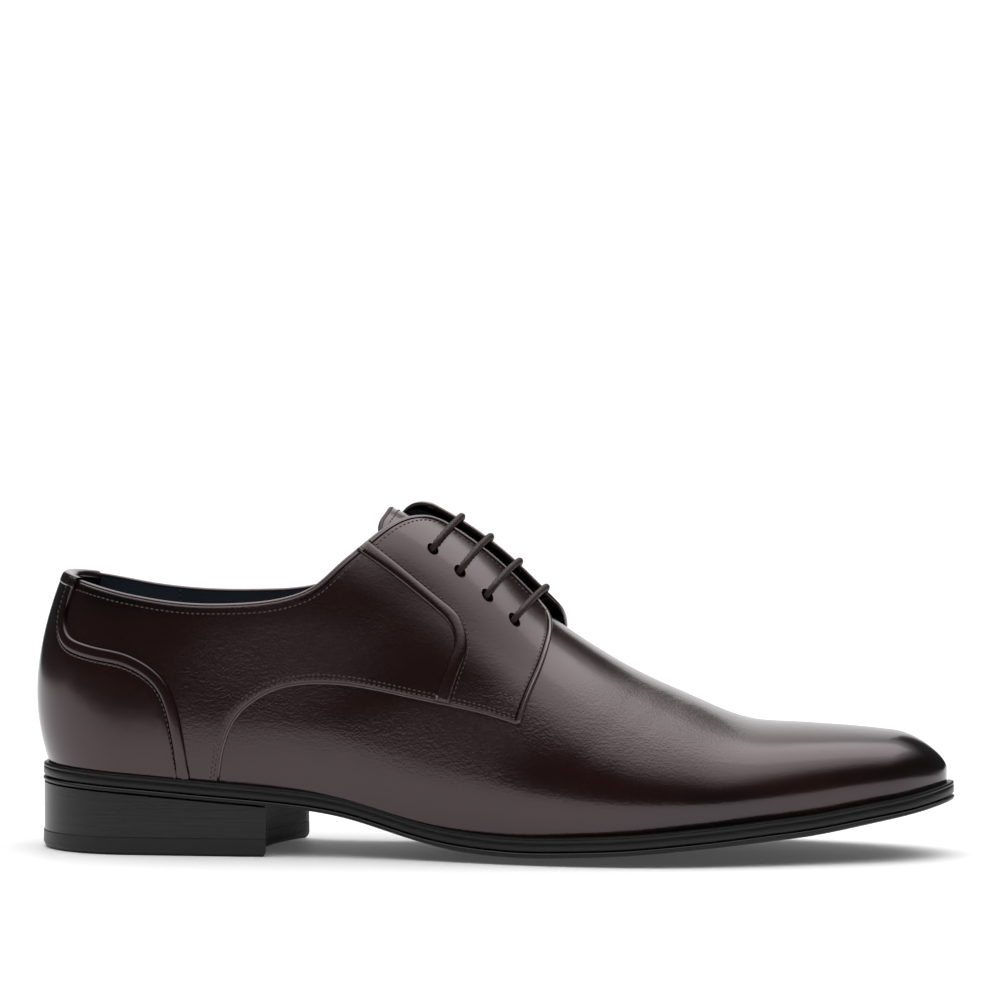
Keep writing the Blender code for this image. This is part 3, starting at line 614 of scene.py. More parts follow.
def stitches(name, rows, material, length=1.25, pitch=1.75, radius=0.24):
    """Rows of thread along curves on the skin; each row is points and normals in the frame."""
    verts = []
    faces = []
    for spots, normals in rows:
        reach = measured(spots)
        count = int(reach[-1] / (pitch * MM))
        for at in (np.arange(count) + 0.5) * reach[-1] / max(count, 1):
            place = between(at, reach, spots)
            ahead = between(at + STITCH_LOOK, reach, spots)
            run = unit(ahead - between(at - STITCH_LOOK, reach, spots))
            up = between(at, reach, normals)
            up = unit(up - run * (up @ run))
            side = np.cross(run, up)
            first = len(verts)
            for share, size in STITCH_RINGS:
                sink = STITCH_LIFT - STITCH_SINK * abs(share) ** 3
                middle = place + run * share * length * MM / 2 + up * sink
                for k in range(STITCH_SIDES):
                    turn = 2 * pi * k / STITCH_SIDES
                    verts.append(middle + (side * cos(turn) + up * sin(turn)) * radius * size * MM)
            last = len(verts) - STITCH_SIDES
            faces += bridge(first, len(STITCH_RINGS) - 1, STITCH_SIDES)
            faces.append(list(reversed(range(first, first + STITCH_SIDES))))
            faces.append(list(range(last, last + STITCH_SIDES)))
    return add_piece(name, verts, faces, material)


def row_on(line, level, layout=over_ridge, lifted=False):
    """A stitch row: the line's points on the skin, and the skin's normals there."""
    spots = skin(line, level, layout, lifted)
    side, along, up = layout(line)
    return spots, outward(side, along, up)


def beside(line, distance, stretch=(1.0, 1.0)):
    """A line moved sideways on the pattern, to its left where the distance (in mm) is positive.

    Stretch says how much longer the last is than the pattern, along and up."""
    points = np.asarray(line, float)
    run = np.gradient(points, axis=0) * stretch
    left = unit(np.stack([-run[:, 1], run[:, 0]], -1))
    return listed(points + left / stretch * (np.asarray(distance, float).reshape(-1, 1) * MM))


# Materials
def new_material(name, color, roughness, coat=0.0, coat_roughness=0.1, specular=0.5):
    material = bpy.data.materials.new(name)
    material.use_nodes = True
    shader = material.node_tree.nodes["Principled BSDF"]
    shader.inputs["Base Color"].default_value = (*color, 1)
    shader.inputs["Roughness"].default_value = roughness
    shader.inputs["Coat Weight"].default_value = coat
    shader.inputs["Coat Roughness"].default_value = coat_roughness
    shader.inputs["Specular IOR Level"].default_value = specular
    place = material.node_tree.nodes.new("ShaderNodeTexCoord").outputs["Object"]
    return material, material.node_tree, shader, place


def made(tree, kind, inputs, **settings):
    """A shader node with each input set or linked."""
    new = tree.nodes.new("ShaderNode" + kind)
    for name, value in settings.items():
        setattr(new, name, value)
    for socket, value in inputs.items():
        if isinstance(value, bpy.types.NodeSocket):
            tree.links.new(value, new.inputs[socket])
        else:
            new.inputs[socket].default_value = value
    return new


def math(tree, operation, first, second, clamp=False):
    return made(tree, "Math", {0: first, 1: second}, operation=operation, use_clamp=clamp).outputs[0]


NOISE_ROUGH = 0.55
SPOT_CORE = 0.25
# Sockets of the colour mix, whose names its other kinds share
MIX_FIRST = 6
MIX_SECOND = 7
MIX_RESULT = 2


def noise(tree, place, scale, detail=3.0, stretch=None):
    if stretch:
        place = made(tree, "Mapping", {"Vector": place, "Scale": stretch}).outputs["Vector"]
    inputs = {"Vector": place, "Scale": scale, "Detail": detail, "Roughness": NOISE_ROUGH}
    return made(tree, "TexNoise", inputs).outputs["Fac"]


def soft_spots(tree, place, spots):
    """A mask that is 1 at some places of the shoe and fades to 0 over each one's size, both in mm."""
    mask = None
    for middle, size in spots:
        middle = tuple(np.array(middle) * MM + SHIFT)
        size = tuple(np.array(size) * MM)
        away = made(tree, "VectorMath", {0: place, 1: middle}, operation="SUBTRACT").outputs[0]
        share = made(tree, "VectorMath", {0: away, 1: size}, operation="DIVIDE").outputs[0]
        length = made(tree, "VectorMath", {0: share}, operation="LENGTH").outputs["Value"]
        fade = {"Value": length, "From Min": 1.0, "From Max": SPOT_CORE}
        spot = made(tree, "MapRange", fade, interpolation_type="SMOOTHSTEP").outputs["Result"]
        mask = math(tree, "MAXIMUM", mask, spot) if mask else spot
    return mask


def bump(tree, shader, height, strength, distance, normal=None):
    inputs = {"Height": height, "Strength": strength, "Distance": distance}
    if normal:
        inputs["Normal"] = normal
    relief = made(tree, "Bump", inputs).outputs["Normal"]
    tree.links.new(relief, shader.inputs["Normal"])
    return relief


def paint(tree, shader, share, first, second):
    """Base colour between two colours."""
    inputs = {"Factor": share, MIX_FIRST: (*first, 1), MIX_SECOND: (*second, 1)}
    tone = made(tree, "Mix", inputs, data_type="RGBA").outputs[MIX_RESULT]
    tree.links.new(tone, shader.inputs["Base Color"])


def scaled(color, share):
    return tuple(share * part for part in color)


# Where the calf's grain opens, with the size of each patch, in millimetres from the heel's back
GRAIN_SPOTS = (
    ((90, -34, 70), (52, 22, 24)),
    ((150, -40, 44), (48, 22, 20)),
    ((215, -30, 48), (50, 30, 26)),
    ((215, 30, 45), (50, 30, 26)),
    ((100, 32, 66), (60, 22, 26)),
)
# Where the calf's colour is darker, with the size of each patch, in millimetres from the heel's back
DARK_SPOTS = (
    ((302, 4, 28), (62, 52, 40)),
    ((250, -44, 16), (60, 16, 13)),
    ((30, -30, 92), (60, 16, 14)),
    ((8, 0, 85), (26, 34, 30)),
)

SHEEN_TINT = (1.0, 0.80, 0.86)


def calf_leather(name, color, dark, roughness=0.16, grain=1.0, gloss=0.60):
    """Polished calf: darker in patches at the toe, the lower outer vamp, the outer collar and the top of the
    heel's back; grain opening where it flexes.
    """
    material, tree, shader, place = new_material(name, color, roughness, 0.3, 0.12, gloss)
    shader.inputs["Specular Tint"].default_value = (*SHEEN_TINT, 1)
    # Darker patches at the places above, mixed with a random cloudy tone
    darker_patches = math(tree, "MULTIPLY", soft_spots(tree, place, DARK_SPOTS), 0.95)
    cloudy = math(tree, "MULTIPLY", noise(tree, place, 38.0), 0.55)
    share = math(tree, "ADD", darker_patches, math(tree, "SUBTRACT", cloudy, 0.2), clamp=True)
    paint(tree, shader, share, color, dark)
    opening = soft_spots(tree, place, GRAIN_SPOTS)
    pebble = made(tree, "TexVoronoi", {"Vector": place, "Scale": 1250.0}).outputs["Distance"]
    wrinkle = noise(tree, place, 620.0, stretch=(0.7, 1.0, 1.4))
    height = math(tree, "ADD", math(tree, "MULTIPLY", pebble, 0.7), wrinkle)
    amount = math(tree, "ADD", math(tree, "MULTIPLY", opening, 0.85), 0.15)
    height = math(tree, "MULTIPLY", height, math(tree, "MULTIPLY", amount, grain))
    fine = bump(tree, shader, height, 0.8, 0.24 * MM)
    bump(tree, shader, noise(tree, place, 75.0, 2.0), 0.14, 0.6 * MM, fine)
    rough = math(tree, "ADD", math(tree, "MULTIPLY", opening, 0.20), roughness)
    rough = math(tree, "ADD", rough, math(tree, "MULTIPLY", noise(tree, place, 120.0, 2.0), 0.08))
    tree.links.new(rough, shader.inputs["Roughness"])
    return material


def edge_ink(name, color, roughness, streaks, strength=0.35, gloss=0.24):
    """Inked leather edges with fine streaks along the layers."""
    material, tree, shader, place = new_material(name, color, roughness, gloss / 4, 0.2, gloss)
    lines = noise(tree, place, streaks, stretch=(0.05, 0.05, 1.0))
    specks = math(tree, "MULTIPLY", noise(tree, place, 900.0, 2.0), 0.35)
    bump(tree, shader, math(tree, "ADD", lines, specks), strength, 0.2 * MM)
    paint(tree, shader, lines, scaled(color, 0.6), scaled(color, 1.5))
    return material


def rough_stack(name, color):
    """The raw, rasped face of the heel's breast."""
    material, tree, shader, place = new_material(name, color, 0.75)
    fibres = noise(tree, place, 700.0, 5.0, stretch=(1.0, 0.5, 1.0))
    lifts = math(tree, "MULTIPLY", noise(tree, place, 420.0, 1.0, stretch=(0.02, 0.02, 1.0)), 0.6)
    bump(tree, shader, math(tree, "ADD", fibres, lifts), 0.8, 0.5 * MM)
    paint(tree, shader, fibres, scaled(color, 0.5), scaled(color, 1.8))
    return material


def soft_lining(name, color, scale=900.0):
    material, tree, shader, place = new_material(name, color, 0.55, 0.05)
    bump(tree, shader, noise(tree, place, scale, 4.0), 0.35, 0.25 * MM)
    paint(tree, shader, noise(tree, place, 60.0, 2.0), scaled(color, 0.75), scaled(color, 1.25))
    return material


def thread(name, color, specular=0.5, strands=2600.0, tone_and_glint_contrast=1.4):
    """Twisted thread or cord, lighter and darker along its strands: partly the strands' own tone, partly
    painted glints and shade on the twist.
    """
    material, tree, shader, place = new_material(name, color, 0.5, specular=specular)
    twist = noise(tree, place, strands, 2.0)
    bump(tree, shader, twist, 0.4, 0.08 * MM)
    # The colour swing is partly the strands' own tone and partly painted glints and shade
    paint(tree, shader, twist, scaled(color, 1 / tone_and_glint_contrast), scaled(color, tone_and_glint_contrast))
    return material


CALF_COLOR = (0.0150, 0.0045, 0.0040)
CALF_DARK = (0.0024, 0.0016, 0.0019)
CALF = calf_leather("burnished_calf", CALF_COLOR, CALF_DARK)
STIFF_CALF = calf_leather("counter_calf", CALF_COLOR, CALF_DARK, 0.13, grain=0.12)
BEAD = calf_leather("bead_calf", (0.040, 0.022, 0.020), (0.012, 0.008, 0.008), grain=0.1, gloss=0.9)
EDGE_BLACK = edge_ink("black_edge", (0.008, 0.0075, 0.008), 0.34, 1500.0)
OUTSOLE_BLACK = edge_ink("outsole_black", (0.006, 0.006, 0.0065), 0.30, 900.0, 0.15)
HEEL_BLACK = edge_ink("heel_black", (0.0095, 0.0085, 0.009), 0.28, 1100.0, 0.30, gloss=0.32)
RUBBER = edge_ink("heel_rubber", (0.0095, 0.0085, 0.009), 0.42, 600.0, 0.2, gloss=0.30)
BREAST = rough_stack("breast_fibre", (0.020, 0.018, 0.017))
NAVY = soft_lining("navy_lining", (0.030, 0.044, 0.062))
SUEDE = soft_lining("navy_suede", (0.030, 0.046, 0.068), 500.0)
SOCK = soft_lining("sock_lining", (0.024, 0.030, 0.042), 700.0)
THREAD = thread("brown_thread", (0.050, 0.032, 0.029))
# The lace's wide colour swing is partly its own tone and largely painted glints and shade on its twist
LACE = thread("waxed_lace", (0.020, 0.010, 0.010), 0.26, strands=1100.0, tone_and_glint_contrast=2.4)
# Near-black paint for a thin tube that stands in for the shade in the groove beside the rim bead
PAINTED_GROOVE_SHADE = edge_ink("painted_shade_line", (0.003, 0.002, 0.002), 0.6, 900.0, gloss=0.05)
BINDING = soft_lining("tongue_binding", (0.020, 0.011, 0.010), 1400.0)


# Lines of the pattern
def collar_line(side, step=SEAM_FINE):
    """The collar from the heel's back to the facing's top corner; the inner side sits higher."""
    return smooth(across(side, COLLAR_INNER if side > 0 else COLLAR), step)


def throat_line(side):
    return straight(collar_line(side)[-1], across(side, QUARTER_FRONT)[-1])


CORNER_ROUND = 6.0 * MM
CORNER_POINTS = 9


def facing_line(side):
    """The facing's free edge: along the throat, round its lower corner and down the front."""
    throat = np.array(throat_line(side))
    front = np.array(front_line(side))[::-1]
    corner = throat[-1]
    before = throat[np.linalg.norm(throat - corner, axis=1) > CORNER_ROUND]
    after = front[np.linalg.norm(front - corner, axis=1) > CORNER_ROUND]
    share = np.linspace(0, 1, CORNER_POINTS)[1:-1, None]
    curve = (1 - share) ** 2 * before[-1] + 2 * share * (1 - share) * corner + share ** 2 * after[0]
    return listed(np.concatenate([before, curve, after]))


def foot_line(side):
    return smooth(across(side, QUARTER_FOOT))


def front_line(side):
    return smooth(across(side, QUARTER_FRONT))


def round_hole(side, row, radius=EYELET_RADIUS, count=20):
    (along, up), = across(side, [row])
    turns = [2 * pi * k / count for k in range(count)]
    return [(along + radius * cos(turn), up + radius * sin(turn)) for turn in turns]


# Pieces of the upper
def make_vamp():
    """One piece over the toe, running under both quarters."""
    back_rows = ((0.215, 0.0), (0.235, 0.10), (0.270, 0.20), (0.34, 0.27), (0.42, 0.31), (0.50, 0.35),
                 (0.535, 0.50), (0.545, 0.70), (0.550, 0.85), (0.556, 1.0))
    outer = smooth(across(-1, back_rows))
    inner = smooth(across(1, back_rows))
    sides = straight(outer[0], (SPAN, -GIRTH))
    tip = straight((SPAN, -GIRTH), (SPAN, GIRTH))
    rest = straight((SPAN, GIRTH), inner[0])
    loop = joined(sides, tip, rest, inner, list(reversed(outer)))
    panel("vamp", loop, 0.0, 0.0, CALF, profile=FLAT, replaces=("upper",))


def make_quarter(side, name):
    """A quarter with its facing, from the heel's back to the facing's front edge."""
    collar = collar_line(side)
    heel = straight((0.0, side * GIRTH), collar[0])
    feather = straight(foot_line(side)[0], (0.0, side * GIRTH))
    loop = joined(heel, collar, facing_line(side), list(reversed(foot_line(side))), feather)
    holes = [round_hole(side, row) for row in EYELETS]
    panel(name, loop, 0.0, QUARTER, CALF, holes=holes, lifted=True, step=QUARTER_FINE)


HEEL_STRETCH = (1.0, 1.8)
SEAM_STRETCH = (1.0, 1.65)
ROLL_WIDE = 4.0
GROOVE = 0.15
COUNTER_BODY = 1.10 * MM
FOLD_OUTER = 27.0 * MM
FOLD_INNER = 24.0 * MM
# The fold across the collar: how far out from the last and how far above the collar, in mm
FOLD = (
    (1.9, -1.5), (2.3, -1.42), (2.45, -1.2), (2.45, -0.6), (2.35, -0.1), (2.0, 0.35), (1.3, 0.62),
    (0.3, 0.75), (-0.8, 0.7), (-1.7, 0.45), (-2.25, 0.0), (-2.4, -0.6), (-2.4, -2.4), (-2.3, -2.6),
    (-1.8, -2.7),
)
CRISP = ((0.00, 0.00), (0.03, 0.45), (0.14, 0.78), (0.38, 0.95), (0.80, 1.00))
ROUNDED = ((0.00, 0.00), (0.06, 0.42), (0.28, 0.70), (0.75, 0.92), (1.45, 1.00))


def heel_rows(rows, side):
    """Shares of one side as places on the pattern round the heel; the outer side is positive."""
    return [(-side * along * SPAN, up * GIRTH) for along, up in rows]


def counter_edge(side, distance=0.0):
    """The counter's edge on one side, moved inwards by a distance in mm."""
    line = smooth(heel_rows(COUNTER, side))
    return beside(line, distance * side, HEEL_STRETCH) if distance else line


def closed_strip(first, second):
    """The loop between two lines that run the same way."""
    back_along = list(reversed(second))
    return joined(first, straight(first[-1], second[-1]), back_along, straight(second[0], first[0]))


def make_counter():
    """The counter and its back strip: a smooth body inside a raised roll, with a groove between them."""
    body = closed_strip(counter_edge(-1, ROLL_WIDE + GROOVE), counter_edge(1, ROLL_WIDE + GROOVE))
    panel("counter", body, QUARTER, COUNTER_BODY, STIFF_CALF, round_heel, CRISP, step=QUARTER_FINE)
    for side, name in ((-1, "counter_roll_outer"), (1, "counter_roll_inner")):
        roll = closed_strip(counter_edge(side), counter_edge(side, ROLL_WIDE))
        panel(name, roll, QUARTER, COUNTER_STEP, STIFF_CALF, round_heel, CRISP, step=SEAM_FINE)


def make_heel_fold():
    """The back strip folded over the collar at the heel."""
    line = straight((-FOLD_INNER, 0.0), (FOLD_OUTER, 0.0), 1.0 * MM)
    verts = []
    for across_heel, _ in line:
        side = -1 if across_heel > 0 else 1
        along = abs(across_heel)
        collar = collar_line(side)
        height = np.interp(along, [spot[0] for spot in collar], [GIRTH - abs(spot[1]) for spot in collar])
        places = np.array([(across_heel, height + above * MM) for _, above in FOLD])
        verts.extend(skin(places, np.array([out for out, _ in FOLD]) * MM, layout=round_heel))
    count = len(FOLD)
    faces = []
    for row in range(len(line) - 1):
        for k in range(count - 1):
            here = row * count + k
            faces.append([here, here + count, here + count + 1, here + 1])
    add_piece("heel_fold", verts, faces, CALF)


def make_band(side, name):
    """The raised roll that frames the facing."""
    behind = smooth(across(side, BAND_BACK))
    ahead = smooth(across(side, BAND_FRONT))
    loop = closed_strip(behind, ahead)
    panel(name, loop, QUARTER, BAND_STEP, CALF, profile=ROUNDED, lifted=True, step=SEAM_FINE)


LINING_SEAM = 0.185
LINING_STEP = 3.2 * MM
FINE_LINE = 2.0 * MM
SEAM_GAP = 1.2
THREAD_PROUD = 0.05 * MM
RIM_WIDE = 3.4
THROAT_FOOT = ((0.571, 0.905), (0.584, 1.0))


def make_lining():
    """The navy lining inside the whole upper, soft round the heel and smooth ahead of its seam."""
    for side, place in ((-1, "outer"), (1, "inner")):
        collar = collar_line(side)
        at = next(k for k, spot in enumerate(collar) if spot[0] > LINING_SEAM * SPAN)
        seam = straight(collar[at], (collar[at][0], side * GIRTH), FINE_LINE)
        heel = straight((0.0, side * GIRTH), collar[0], FINE_LINE)
        behind = straight(seam[-1], (0.0, side * GIRTH), LINING_FINE)
        loop = joined(heel, collar[:at + 1], seam, behind)
        panel(f"lining_heel_{place}", loop, -WALL, 0.0, SUEDE, profile=FLAT, step=LINING_FINE, turned=True)
        nose = smooth(across(side, THROAT_FOOT))
        ridge = straight(nose[-1], (SPAN, 0.0), LINING_FINE)
        tip = straight((SPAN, 0.0), (SPAN, side * GIRTH), LINING_FINE)
        feather = straight((SPAN, side * GIRTH), seam[-1], LINING_FINE)
        loop = joined(collar[at:], throat_line(side), nose, ridge, tip, feather, list(reversed(seam)))
        panel(f"lining_{place}", loop, -WALL, 0.0, NAVY, profile=FLAT, step=LINING_STEP, lifted=True,
              within=True, turned=True)
        rim = [spot for spot in beside(collar, side * RIM_WIDE) if spot[0] > FOLD_OUTER]
        rows = []
        for line in (rim, beside(seam, SEAM_GAP)):
            spots, normals = row_on(line, -WALL - THREAD_PROUD, lifted=True)
            rows.append((spots, -normals))
        stitches(f"lining_stitches_{place}", rows, THREAD)


RIM_BEAD = 0.80 * MM
FOOT_BEAD = 0.55 * MM
COLLAR_LEVEL = 0.15 * MM
THROAT_LEVEL = 0.95 * MM
EDGE_LEVEL = 0.35 * MM
CORNER_RISE = 14.0 * MM
DROP_POWER = 0.5
# The painted shade line beside the rim bead: where it starts, how far from the bead it runs, how deep it
# sinks and how thick it is
GROOVE_FROM = 0.33
GROOVE_AWAY = 1.0
GROOVE_SUNK = 0.06 * MM
GROOVE_LINE = 0.30 * MM


def rim_half(side):
    """The rim of one side from the heel's back to the foot of the facing's front edge, with its levels."""
    collar = np.array(collar_line(side))
    edge = np.array(facing_line(side))[1:]
    rise = ease(-np.linalg.norm(collar - collar[-1], axis=1), -CORNER_RISE, 0.0)
    down = np.abs(edge[:, 1])
    drop = np.clip((down - down[0]) / (down[-1] - down[0]), 0, 1) ** DROP_POWER
    levels = np.concatenate([
        COLLAR_LEVEL + (THROAT_LEVEL - COLLAR_LEVEL) * rise,
        THROAT_LEVEL + (EDGE_LEVEL - THROAT_LEVEL) * drop,
    ])
    return listed(np.concatenate([collar, edge])), levels


def make_beads():
    """The rolled bead round the rim, a thin near-black tube beside it that paints the shade in the groove
    next to the bead, and the finer bead along each lower seam.
    """
    outer, outer_levels = rim_half(-1)
    inner, inner_levels = rim_half(1)
    line = list(reversed(outer)) + inner[1:]
    levels = np.concatenate([outer_levels[::-1], inner_levels[1:]])
    tube("rim_bead", skin(line, levels, lifted=True), RIM_BEAD, BEAD, sides=14)
    for side, name, rim in ((-1, "outer", outer), (1, "inner", inner)):
        edge = foot_line(side)
        tube(f"foot_bead_{name}", skin(edge, EDGE_LEVEL, lifted=True), FOOT_BEAD, BEAD)
        # A near-black tube half sunk beside the bead paints the shade in the groove there
        ahead = [spot for spot in rim if spot[0] > GROOVE_FROM * SPAN]
        groove = skin(beside(ahead, side * GROOVE_AWAY), QUARTER - GROOVE_SUNK, lifted=True)
        tube(f"rim_painted_shade_{name}", groove, GROOVE_LINE, PAINTED_GROOVE_SHADE, sides=8)


TONGUE_LINE = 1.5 * MM
TONGUE_FINE = 2.0 * MM
TONGUE_BOUND = 6
TONGUE_TOP = 0.8 * MM
BINDING_PROUD = 0.15 * MM
TONGUE_ROW = 2.2


def make_tongue():
    """The tongue with its lining, its bound top edge and the stitch row below that."""
    outer = smooth(across(-1, TONGUE), TONGUE_LINE)
    inner = smooth(across(1, TONGUE), TONGUE_LINE)
    loop = joined(outer, list(reversed(inner)))
    top = -WALL - TONGUE_CLEAR
    panel("tongue", loop, top - TONGUE_TOP, TONGUE_TOP, CALF, step=TONGUE_FINE, replaces=("tongue",))
    panel("tongue_lining", loop, top - TONGUE_WALL, 0.0, NAVY, profile=FLAT, step=LINING_FINE, turned=True)
    bound = TONGUE[:TONGUE_BOUND]
    edge = list(reversed(smooth(across(-1, bound)))) + smooth(across(1, bound))[1:]
    tube("tongue_edge", skin(edge, top - TONGUE_WALL / 2), TONGUE_WALL / 2 + BINDING_PROUD, BINDING)
    stitches("tongue_stitches", [row_on(beside(edge, -TONGUE_ROW), top)], THREAD)


CLEAR_SHARE = 0.3
LACE_POINTS = 121
LACE_SIDES = 18
LACE_TWIST = 2600.0
LACE_RELIEF = 0.13
LACE_DIP = 2.6 * MM
DIP_FROM = 0.86
LACE_END = (-WALL - 1.0 * MM, -0.8 * MM, 0.2 * MM)


def make_laces():
    """Four straight bars of round waxed lace, each turned down into its eyelets."""
    sill = QUARTER + CLEAR * CLEAR_SHARE + LACE_RADIUS
    shares = np.linspace(-1, 1, LACE_POINTS)
    dip = np.clip((np.abs(shares) - DIP_FROM) / (1 - DIP_FROM), 0, 1) ** 2 * LACE_DIP
    for number, (along, up) in enumerate(EYELETS, 1):
        width = (1 - up) * GIRTH
        places = np.stack([along * SPAN + LACE_BOW * (1 - shares * shares), shares * width], -1)
        spots = skin(places, sill - dip, lifted=True)
        ends = [skin([(along * SPAN, end * width)] * len(LACE_END), LACE_END, lifted=True) for end in (-1, 1)]
        route = np.concatenate([ends[0], spots, ends[1][::-1]])
        tube(f"lace_{number}", route, LACE_RADIUS, LACE, sides=LACE_SIDES, replaces=(f"lace_bar_{number}",),
             twist=LACE_TWIST, relief=LACE_RELIEF)


# Distances of the stitch rows from their edges, in mm
FOOT_ROWS = (1.15, 2.3)
FRONT_ROW = 1.6
FRONT_SKIPS = 3
THROAT_ROW = 3.0
BAND_ROW = 0.6
COUNTER_ROW = ROLL_WIDE + 0.35
COUNTER_ROW_UP = 0.95 * MM
TACKS = (((0.5358, 0.384), (0.5576, 0.3995)), ((0.5376, 0.3763), (0.5576, 0.3898)))
COLLAR_ROW_AT = (0.0, 0.25, 0.40, 0.46)
COLLAR_ROW_BELOW = (1.5, 1.5, 2.2, 2.0)


def collar_row(side):
    """The stitch row below the collar's bead; the pattern is shorter than the last near the heel."""
    line = np.array(collar_line(side))
    away = np.interp(line[:, 0] / SPAN, COLLAR_ROW_AT, COLLAR_ROW_BELOW)
    return [spot for spot in beside(line, side * away) if spot[0] > FOLD_OUTER]


def make_seams():
    """All the rows of stitching."""
    rows = []
    for side in (-1, 1):
        lines = [beside(foot_line(side), -side * away, SEAM_STRETCH) for away in FOOT_ROWS]
        lines.append(beside(front_line(side)[FRONT_SKIPS:], -side * FRONT_ROW))
        lines.append(beside(throat_line(side), side * THROAT_ROW))
        lines += [collar_row(side), beside(smooth(across(side, BAND_FRONT)), -side * BAND_ROW)]
        lines += [smooth(across(side, tack)) for tack in TACKS]
        rows += [row_on(line, QUARTER, lifted=True) for line in lines]
    stitches("seam_stitches", rows, THREAD)
    level = QUARTER + COUNTER_ROW_UP
    heel = [row_on(counter_edge(side, COUNTER_ROW), level, layout=round_heel) for side in (-1, 1)]
    stitches("counter_stitches", heel, THREAD)


# Pieces of the sole
def crown(x, y):
    """How much deeper the sole's underside is inside its edge, under the waist and forefoot."""
    outer, inner = (np.interp(x, edge[:, 0], edge[:, 1]) for edge in SOLE_SIDES)
    middle = (outer + inner) / 2
    half = np.maximum((inner - outer) / 2, MM)
    share = np.clip((y - middle) / half, -1, 1)
    starts = ease(x / LENGTH, CROWN_FROM, CROWN_FROM + CROWN_GROWS)
    ends = np.clip((SOLE_SIDES[0][-1, 0] / LENGTH - x / LENGTH) / CROWN_FADES, 0, 1)
    return CROWN * starts * ends * (2 - ends) * (1 - share * share)


def midsole_top(x, y):
    return foot(x) - CLEAR


def midsole_foot(x, y):
    return np.maximum(midsole_top(x, y) - MIDSOLE - crown(x, y), OUTSOLE + CLEAR)


def outsole_top(x, y):
    return midsole_foot(x, y) - CLEAR


def outsole_foot(x, y):
    return outsole_top(x, y) - OUTSOLE


def heel_top(x, y):
    return outsole_foot(x, y) - CLEAR


def flat(height):
    return lambda x, y: np.full(np.shape(x), height)


def sole_loop(extra, start=None, end=None, step=SOLE_FINE):
    """The whole outline as a loop, or only round the heel between two places."""
    if start is None:
        along = np.linspace(0, SPAN, round(SPAN / step) + 1)
        outer = sole_edge(-1, along, extra)
        inner = sole_edge(1, along[::-1], extra)
        return listed(outer) + listed(inner[1:-1])
    inner = sole_edge(1, np.linspace(end, 0, round(end / step) + 1), extra)
    outer = sole_edge(-1, np.linspace(0, start, round(start / step) + 1), extra)
    return listed(inner) + listed(outer[1:])


BREAST_FINE = 32
SLAB_FINE = 4.0 * MM
SHARP = pi / 6
FACES_AHEAD = 0.6
UPRIGHT = 0.5
SNUG = 0.03 * MM
CORNER_CLEAR = 1.4 * MM


def heel_loop(extra):
    """The heel's outline: round the back and across the hollow breast."""
    loop = sole_loop(extra, HEEL_ARC + BREAST_OUTER - HEEL_REACH, HEEL_ARC + BREAST_INNER - HEEL_REACH)
    (x0, y0), (x1, y1) = loop[-1], loop[0]
    share = np.linspace(0, 1, BREAST_FINE + 1)[1:-1]
    hollow = BREAST_HOLLOW * 4 * share * (1 - share)
    return loop + [(x0 + (x1 - x0) * s - h, y0 + (y1 - y0) * s) for s, h in zip(share, hollow)]


def slab(name, loop, top, bottom, upper, lower, material, replaces=(), breast=None):
    """A plate with an outline; each ring of its edge is (inset, distance from the top or foot), in mm."""
    rings = [(*ring, top, -1) for ring in upper] + [(*ring, bottom, 1) for ring in lower]
    spots, faces = triangulate(listed(inset(loop, rings[0][0] * MM)), [], SLAB_FINE)
    count = len(loop)
    verts = []
    for back_in, distance, face, way in rings:
        edge = inset(loop, back_in * MM)
        verts.extend(zip(edge[:, 0], edge[:, 1], face(edge[:, 0], edge[:, 1]) + way * distance * MM))
    middle = spots[count:]
    tops = len(verts)
    feet = tops + len(middle)
    for face in (top, bottom):
        verts.extend(zip(middle[:, 0], middle[:, 1], face(middle[:, 0], middle[:, 1])))
    last = (len(rings) - 1) * count
    built = []
    for face in faces:
        built.append([i if i < count else tops + i - count for i in face])
        built.append([last + i if i < count else feet + i - count for i in reversed(face)])
    built.extend(bridge(0, len(rings) - 1, count, turned=True))
    piece = add_piece(name, np.array(verts) + SHIFT, built, material, replaces, smooth_angle=SHARP)
    if breast:
        piece.data.materials.append(breast)
        corners = [np.array(loop[at]) + SHIFT[:2] for at in (0, -BREAST_FINE)]
        for polygon in piece.data.polygons:
            middle = np.array(polygon.center[:2])
            clear = min(np.linalg.norm(middle - corner) for corner in corners) > CORNER_CLEAR
            if polygon.normal.x > FACES_AHEAD and abs(polygon.normal.z) < UPRIGHT and clear:
                polygon.material_index = 1


# Each layer's edge under its top and over its foot, as rings for slab, and how far it stands out
MIDSOLE_LIP = (
    (2.6, 0.0), (1.2, 0.02), (0.55, 0.08), (0.2, 0.3), (0.02, 0.65), (0.0, 1.05), (0.1, 1.3), (0.2, 1.42),
    (0.1, 1.55), (0.0, 1.8), (-0.03, 3.0),
)
MIDSOLE_UNDER = ((0.0, 0.75), (0.12, 0.45), (0.4, 0.15), (1.0, 0.0))
OUTSOLE_OVER = ((2.0, 0.0), (0.8, 0.0), (0.3, 0.08), (0.05, 0.35), (0.0, 0.7))
OUTSOLE_UNDER = ((0.08, 0.35), (0.35, 0.06), (1.2, 0.0))
STACK_OVER = ((0.8, 0.0), (0.3, 0.1), (0.0, 0.35), (0.0, 0.45))
STACK_UNDER = ((0.0, 0.2), (0.0, 0.1), (0.08, 0.0))
TOP_PIECE_OVER = ((0.2, 0.0), (0.0, 0.12), (0.0, 0.25))
TOP_PIECE_UNDER = ((0.0, 2.0), (0.2, 1.3), (0.9, 0.35), (1.6, 0.0))
SOCK_OVER = ((1.2, 0.0), (0.3, 0.15), (0.0, 0.7))
SOCK_UNDER = ((0.0, 0.0),)
OUTSOLE_OUT = 0.2 * MM
STACK_OUT = -0.2 * MM
TOP_PIECE_OUT = 0.1 * MM
SOCK_FINE = 3.0 * MM


def sock_top(x, y):
    return foot(x) + INSOLE


def sock_foot(x, y):
    return foot(x)


